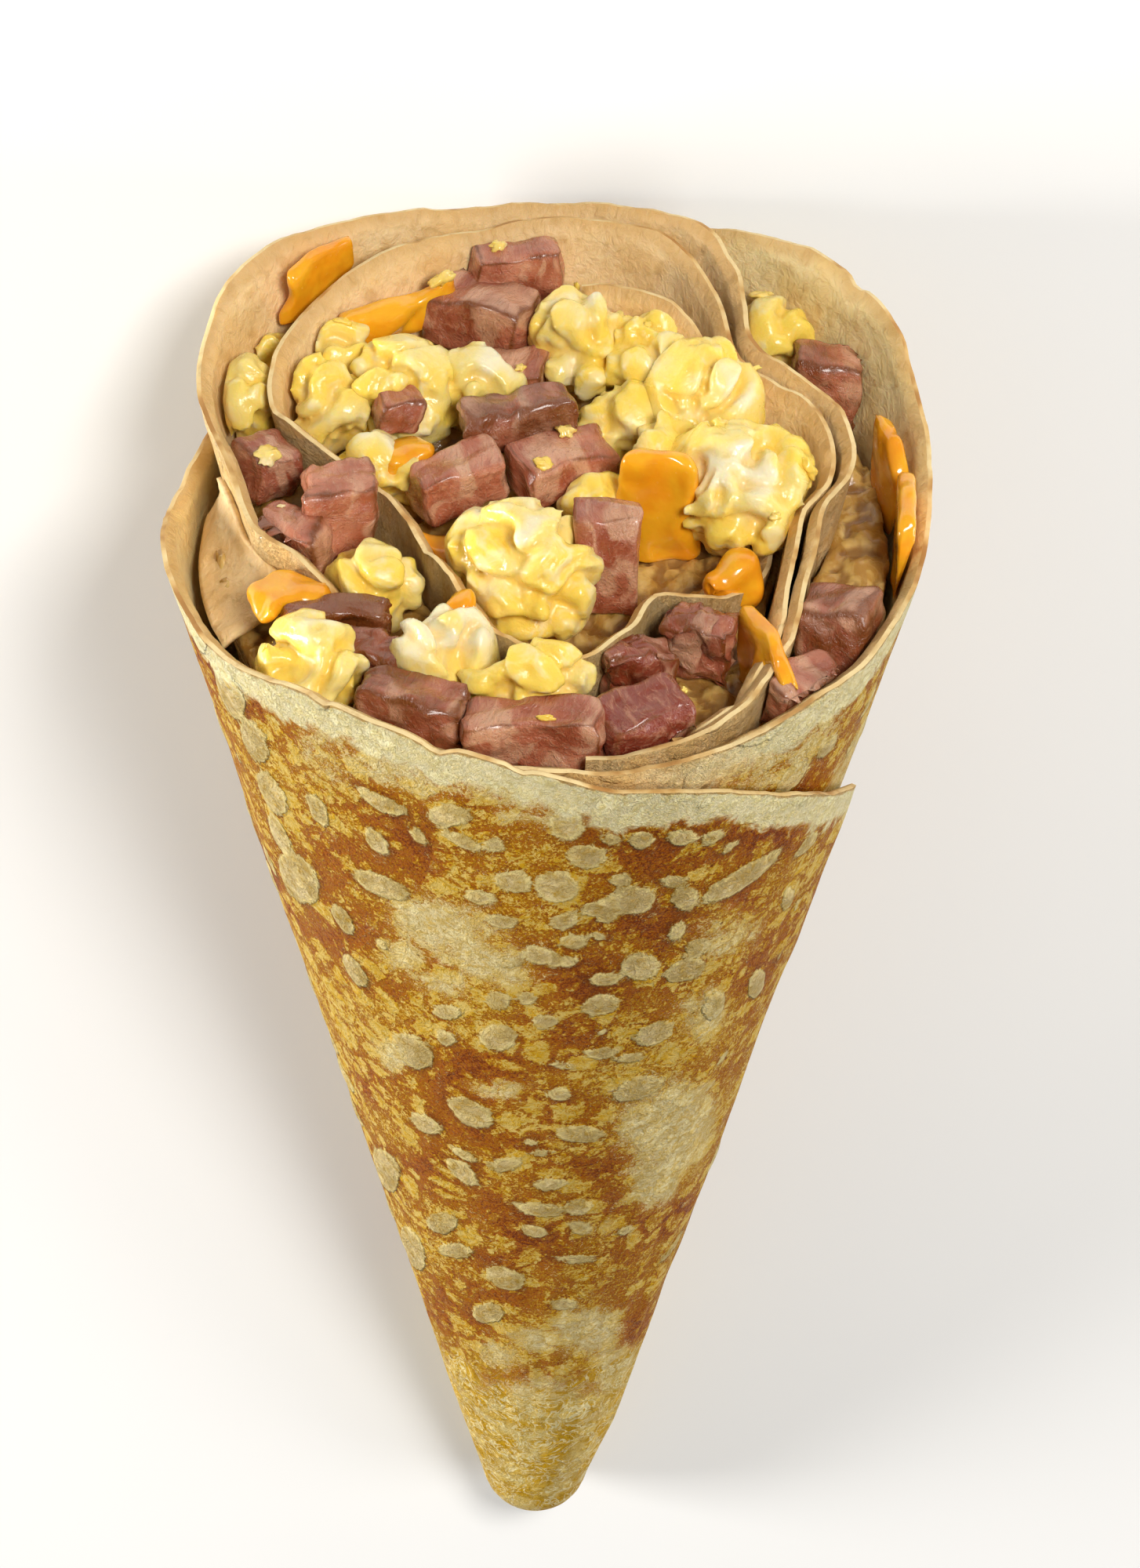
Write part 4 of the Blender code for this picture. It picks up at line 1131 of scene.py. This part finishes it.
def rounded_block(name, size, radius, cuts):
    """Cube with rounded edges, and how near each corner lies to an edge."""
    bpy.ops.object.select_all(action="DESELECT")
    bpy.ops.mesh.primitive_cube_add(size=2)
    made = bpy.context.object
    made.name = name
    made.data.name = name
    with editing(made):
        bpy.ops.mesh.subdivide(number_cuts=cuts)
    half = [s / 2 for s in size]
    edge = []
    for vert in made.data.vertices:
        place = Vector([vert.co[k] * half[k] for k in range(3)])
        core = Vector([max(min(place[k], half[k] - radius), radius - half[k]) for k in range(3)])
        way = place - core
        if way.length > 1e-6:
            way.normalize()
            place = core + way * radius
        vert.co = place
        edge.append(min((1.0 - max(abs(w) for w in way)) / 0.30, 1.0) if way.length > 1e-6 else 0.0)
    return made, edge


def place_block(made, row):
    """Turn a block and set it on the filling."""
    x, y, depth, _, _, _, turn = row[:7]
    centre = Vector((x, y, MOUTH_HEIGHT + MOUTH_RISE * y - depth))
    made.data.transform(Matrix.Translation(centre) @ Matrix.Rotation(math.radians(turn), 4, "Z"))


for number, (node, row) in enumerate(zip(ham_names, HAM)):
    rng = random.Random(300 + number)
    browning, redness, tearing = row[7:]
    die, edge = rounded_block("diced_" + node, row[3:6], min(row[3:6]) * 0.16, BLOCK_CUTS)
    skew = [rng.uniform(-0.2, 0.2) for _ in range(4)]
    shift = Vector([rng.uniform(0, 60) for _ in range(3)])
    grain = []
    for vert in die.data.vertices:
        spot = vert.co + shift
        grain.append(spot)
        bend = noise.noise_vector(spot * 0.12) * 1.4
        bend = bend + noise.noise_vector(spot * 0.38) * (0.5 + 0.9 * tearing)
        bend = bend + noise.noise_vector(spot * 1.1) * (0.14 + 0.5 * tearing)
        lean = Vector((skew[0] * vert.co.z + skew[1] * vert.co.y, skew[2] * vert.co.z, skew[3] * vert.co.x))
        vert.co = vert.co + lean + bend
    place_block(die, row)
    for vert in die.data.vertices:
        vert.co = keep_to(vert.co, trees[node], 0.7)
    soften(die, 2)
    store_floats(die, "edge", edge)
    store_floats(die, "sear", [browning] * len(edge))
    store_floats(die, "red", [redness] * len(edge))
    store = die.data.attributes.new("grain", "FLOAT_VECTOR", "POINT")
    store.data.foreach_set("vector", [c for place in grain for c in place])
    as_piece(die, node, "ham_meat")
print("ham dice:", len(HAM))

# %% [markdown]
# ## Melting cheese
# The cheese went in as slices and strips. Heat rounds their edges and lets them sag over what
# they lie on. Those that lean on a wall have run most: they are thinner and longer, and hang
# down in drips of uneven length.

# %% Cheese slices
# x, y, depth of the centre below the mouth, width, depth, height, turn
CHEESE = [
    (-19.6, 31.2, 2.6, 16.4, 3, 5.8, 24), (-18, 8.2, 3.6, 6, 4.4, 4.6, 30),
    (12.4, 0.4, 2.8, 9.2, 3, 15.4, -22), (-11.2, -19.2, 2.4, 3.8, 3.2, 9.6, -30),
    (-14, -5.6, 5.6, 6.6, 4.6, 3.8, -16), (24.6, -24.6, 5.6, 3.2, 12, 15, 22),
    (21.8, -10, 5, 7.4, 3.4, 6, 24), (-31.4, -15.6, 3.4, 10, 6.4, 3.2, 38),
    (-30, 32.4, -1.2, 2.6, 11, 7.4, -42), (40.2, 9.6, 6.6, 3.6, 7.6, 12, 14),
    (41.4, -2.4, 4.4, 3.6, 9.8, 13, -2),
]
SMEARS = (5, 8, 9, 10)
for number, (node, row) in enumerate(zip(cheese_names, CHEESE)):
    rng = random.Random(400 + number)
    size = list(row[3:6])
    smeared = number in SMEARS
    if smeared:
        size = [size[0] * 0.6, size[1] * 1.3, size[2] * 1.1]
    melt, _ = rounded_block("melting_" + node, size, min(size) * 0.46, BLOCK_CUTS)
    shift = Vector([rng.uniform(0, 60) for _ in range(3)])
    for vert in melt.data.vertices:
        spot = vert.co + shift
        sag = noise.noise_vector(spot * 0.11) * 2.2 + noise.noise_vector(spot * 0.34) * 0.8
        if smeared:
            drip = 1.0 + 0.8 * noise.noise(Vector((spot.z * 0.22, 1.5, 6.0)))
            lean = (drip - 1.0) * vert.co.y + 0.3 * vert.co.z
            sag = Vector((0.6 + 0.3 * sag.x, lean + 0.6 * sag.y, 0.8 * sag.z - 1.0))
        vert.co = vert.co + sag
    place_block(melt, row)
    for vert in melt.data.vertices:
        vert.co = keep_to(vert.co, trees[node], 0.5 if smeared else 1.1, 0.3)
    soften(melt, 3)
    as_piece(melt, node, "melted_cheese")
print("cheese pieces:", len(CHEESE))

# %% [markdown]
# At the left of the mouth a torn piece of the sheet lies in the gap between the two turns. It is
# a small grid laid from wall to wall, kept clear of both, with torn ends.

# %% Torn piece in the left gap
TORN_SPAN = (-157.0, -191.0)
TORN_COLUMNS, TORN_ROWS = 37, 15
TORN_CLEARANCE = 0.9
torn_columns = []
for along in [column / (TORN_COLUMNS - 1) for column in range(TORN_COLUMNS)]:
    bearing = TORN_SPAN[0] + (TORN_SPAN[1] - TORN_SPAN[0]) * along
    line = []
    for across in [row / (TORN_ROWS - 1) for row in range(TORN_ROWS)]:
        radius = 42.2 + 0.8 * along - across * (9.4 - 6.8 * along)
        height = 188.4 + 6.6 * across - 0.6 * math.sin(math.pi * across) + 1.2 * along
        ripple = noise.noise(Vector((along * 6, across * 2.2, 3.3))) * 0.8
        end = 3.4 * noise.noise(Vector((across * 4, 8, 1))) * (1 - along)
        end = end + 3.4 * noise.noise(Vector((across * 4, 3, 6))) * along
        spot = polar(bearing + end, radius, height + ripple)
        near, way, _, reach = wall_tree.find_nearest(spot)
        if reach < TORN_CLEARANCE or (spot - near).dot(way) < 0:
            spot = near + way * TORN_CLEARANCE
        line.append(spot)
    torn_columns.append(line)
torn_turns = np.linspace(500, 543, TORN_COLUMNS)
torn_piece = sheet_grid("crepe_torn_piece", torn_columns, torn_turns, slants_of(torn_columns, 190))
add_thickness(torn_piece)
torn_piece.data.attributes["rim"].data.foreach_set("value", [9.0] * len(torn_piece.data.vertices))
as_piece(torn_piece, None, "pale_side")
print("torn piece:", len(torn_piece.data.polygons), "faces")

# %% [markdown]
# Small bits of egg fall on everything. They could be drawn as bumps, but real ones catch the
# light, so each is an icosphere dropped straight down onto the finished pieces at a seeded
# place, and pressed in a little. A spot too near the sheet is passed over.

# %% Crumbs of egg
CRUMBS = 26
corners = []
faces = []
for made in bpy.data.objects:
    if made.name.startswith(("scrambled_", "diced_", "melting_", "curd_bed_")):
        first = len(corners)
        corners.extend(made.matrix_world @ v.co for v in made.data.vertices)
        faces.extend([first + v for v in p.vertices] for p in made.data.polygons)
surface = BVHTree.FromPolygons(corners, faces)
down = (LIE_DOWN.to_3x3() @ Vector((0, 0, -1))).normalized()
rng = random.Random(77)
crumbs = []
while len(crumbs) < CRUMBS:
    x, y = rng.uniform(-40, 40), rng.uniform(-40, 40)
    spot, normal, _, _ = surface.ray_cast(LIE_DOWN @ Vector((x, y, 230)), down)
    if spot is None or normal.dot(down) > -0.4 or wall_tree.find_nearest(STAND_UP @ spot)[3] < 1.8:
        continue
    size = rng.uniform(0.4, 1.0) ** 1.8 * 1.3 * MM
    bpy.ops.object.select_all(action="DESELECT")
    bpy.ops.mesh.primitive_ico_sphere_add(subdivisions=3, radius=size, location=spot + normal * size * 0.2,
                                          rotation=normal.to_track_quat("Z", "Y").to_euler())
    crumb = bpy.context.object
    crumb.scale = (rng.uniform(0.8, 1.7), rng.uniform(0.7, 1.1), rng.uniform(0.5, 0.8))
    for vert in crumb.data.vertices:
        bent = vert.co / size + Vector((len(crumbs), 0, 0))
        vert.co *= 1 + 0.7 * noise.noise(bent * 1.3) + 0.25 * noise.noise(bent * 3.0)
    crumbs.append(crumb)
crumbs = join_all(*crumbs, name="egg_crumbs")
# A middle fold value lays part of the painted crease shade evenly on the crumbs.
store_floats(crumbs, "fold", [0.4] * len(crumbs.data.vertices))
crumbs.data.transform(STAND_UP)
as_piece(crumbs, None, "egg_curd")
print("crumbs:", CRUMBS, "with", len(crumbs.data.polygons), "faces")

# %% [markdown]
# ## Finishes of the filling
# Egg is a soft yellow with whiter parts, lets a little light in, and shines where it is wet.
# Its creases are painted a deeper yellow as shade, and the bed of curds is painted darker and
# browner as shade between the pieces.
# Ham is pink with paler fat and fibres, browned along its cut edges. Cheese is a deep orange
# yellow and the glossiest of all.

# %% Egg
for name in ("egg_curd", "egg_bed_painted_shade"):
    curd = Finish(name)
    place = curd.object_place()
    slow = curd.noise(place, 0.11, 2.0, 0.5)
    mid = curd.noise(place, 0.34, 3.0, 0.55, 0.6)
    fine = curd.noise(place, 1.6, 3.0, 0.6)
    if name == "egg_bed_painted_shade":
        # Painted shade: the bed is coloured darker and browner than the curds, as shade between the pieces,
        # and darkest brown in its creases.
        colour = curd.layers(
            curd.blend(curd.step(mid, 0.66, 0.40), (0.66, 0.45, 0.14), (0.46, 0.25, 0.055)),
            (curd.step(curd.stored("fold"), 0.65, 0.2, 0.8), (0.24, 0.10, 0.02)),
        )
    else:
        colour = curd.layers(
            curd.blend(curd.step(slow, 0.40, 0.60), (0.93, 0.68, 0.11), (0.89, 0.72, 0.24)),
            (curd.step(mid, 0.50, 0.68, 0.7), (0.89, 0.78, 0.42)),
            (curd.step(slow, 0.58, 0.68, 0.8), (0.88, 0.82, 0.60)),
            (curd.step(fine, 0.62, 0.78, 0.3), (0.88, 0.80, 0.54)),
            # Painted shade: creases, where the fold value is low, are coloured a deeper orange yellow.
            (curd.step(curd.stored("fold"), 0.70, 0.15, 0.5), (0.84, 0.52, 0.06)),
        )
    height = curd.weigh(mid, 0.8, curd.times(fine, 0.3))
    curd.set(Base_Color=colour, Roughness=curd.step(mid, 0.1, 0.9, 0.58),
             Normal=curd.bump(height, 0.0004, 0.6), Specular_IOR_Level=0.5, Coat_Weight=0.2,
             Coat_Roughness=0.25, Subsurface_Weight=0.55, Subsurface_Radius=(0.005, 0.0035, 0.0012))
    print(name, "nodes:", len(curd.tree.nodes))

# %% Ham
ham = Finish("ham_meat")
grain = ham.add("ShaderNodeAttribute", {}, output="Vector", attribute_name="grain")
stretched = ham.add("ShaderNodeVectorMath", {0: grain, 1: (1.0, 0.28, 0.8)}, operation="MULTIPLY")
fibre = ham.noise(stretched, 1.3, 4.0, 0.65, 0.8)
fat = ham.noise(stretched, 0.20, 2.0, 0.5, 0.8)
slow = ham.noise(grain, 0.22, 2.0)
specks = ham.noise(grain, 3.2, 2.0, 0.6)
heat = ham.sum(ham.stored("sear"), (ham.stored("edge"), 0.7), (ham.math("SUBTRACT", slow, 0.5), 1.6),
               (ham.math("SUBTRACT", fibre, 0.5), 0.7))
colour = ham.layers(
    ham.blend(ham.step(slow, 0.36, 0.64), (0.62, 0.245, 0.135), (0.44, 0.120, 0.055)),
    (ham.stored("red"), (0.22, 0.026, 0.011)),
    (ham.step(fibre, 0.46, 0.66, 0.4), (0.66, 0.33, 0.19)),
    (ham.step(fat, 0.50, 0.62, 0.55), (0.76, 0.47, 0.29)),
    (ham.step(specks, 0.62, 0.72, 0.6), (0.24, 0.05, 0.02)),
    (ham.step(heat, 0.35, 1.10, 0.92), (0.19, 0.050, 0.008)),
)
height = ham.weigh(fibre, 0.8, ham.times(specks, 0.35))
ham.set(Base_Color=colour, Roughness=ham.step(fibre, -0.3, 1.2, 0.42), Normal=ham.bump(height, 0.0005, 0.8),
        Specular_IOR_Level=0.5, Coat_Weight=0.45, Coat_Roughness=0.16,
        Subsurface_Weight=0.3, Subsurface_Radius=(0.003, 0.001, 0.0005))
print("ham nodes:", len(ham.tree.nodes))

# %% Cheese
cheese = Finish("melted_cheese")
place = cheese.object_place()
slow = cheese.noise(place, 0.2, 3.0)
fine = cheese.noise(place, 1.1, 3.0)
colour = cheese.blend(cheese.step(slow, 0.35, 0.65), (0.84, 0.32, 0.008), (0.92, 0.45, 0.016))
height = cheese.weigh(slow, 1.2, cheese.times(fine, 0.2))
cheese.set(Base_Color=colour, Roughness=cheese.step(fine, 0.2, 0.9, 0.36),
           Normal=cheese.bump(height, 0.0004, 0.5), Specular_IOR_Level=0.6, Coat_Weight=0.3,
           Coat_Roughness=0.14, Subsurface_Weight=0.3, Subsurface_Radius=(0.004, 0.0016, 0.0003))
print("cheese nodes:", len(cheese.tree.nodes))

# %% [markdown]
# ## The studio
# A plain pale floor, a soft lamp over the mouth, one low at the left, a weaker one at the right
# and a pale surround. They are soft, so the creases shade gently.

# %% Floor and lamps
bpy.ops.object.select_all(action="DESELECT")
bpy.ops.mesh.primitive_plane_add(size=6, location=(0, 0, 0))
floor = bpy.context.object
floor.name = "floor"
plain = Finish("pale_floor")
grain = plain.noise(plain.object_place(), 0.02, 2.0)
plain.set(Base_Color=plain.blend(grain, (0.78, 0.78, 0.77), (0.80, 0.80, 0.79)), Roughness=0.9)
floor.data.materials.append(plain.material)


def lamp(name, place, aim, size, power, colour):
    """Square soft lamp turned towards its aim."""
    data = bpy.data.lights.new(name, "AREA")
    data.shape = "SQUARE"
    data.size = size
    data.energy = power
    data.color = colour
    made = bpy.data.objects.new(name, data)
    bpy.context.scene.collection.objects.link(made)
    made.location = place
    made.rotation_euler = (Vector(aim) - Vector(place)).to_track_quat("-Z", "Y").to_euler()


lamp("over_mouth", (0.26, 0.48, 0.74), (0, 0.03, 0.03), 0.24, 6.0, (1.0, 0.97, 0.93))
lamp("from_left", (-0.64, -0.02, 0.19), (0, -0.02, 0.03), 0.22, 6.2, (1.0, 0.98, 0.95))
lamp("from_right", (0.62, -0.1, 0.26), (0, 0, 0.04), 0.3, 2.2, (1.0, 0.98, 0.96))
world = bpy.data.worlds.new("studio")
bpy.context.scene.world = world
world.use_nodes = True
surround = world.node_tree.nodes["Background"].inputs
surround["Color"].default_value = (1.0, 1.0, 1.0, 1.0)
surround["Strength"].default_value = 0.21
bpy.context.scene.view_settings.view_transform = "Standard"
print("studio ready")
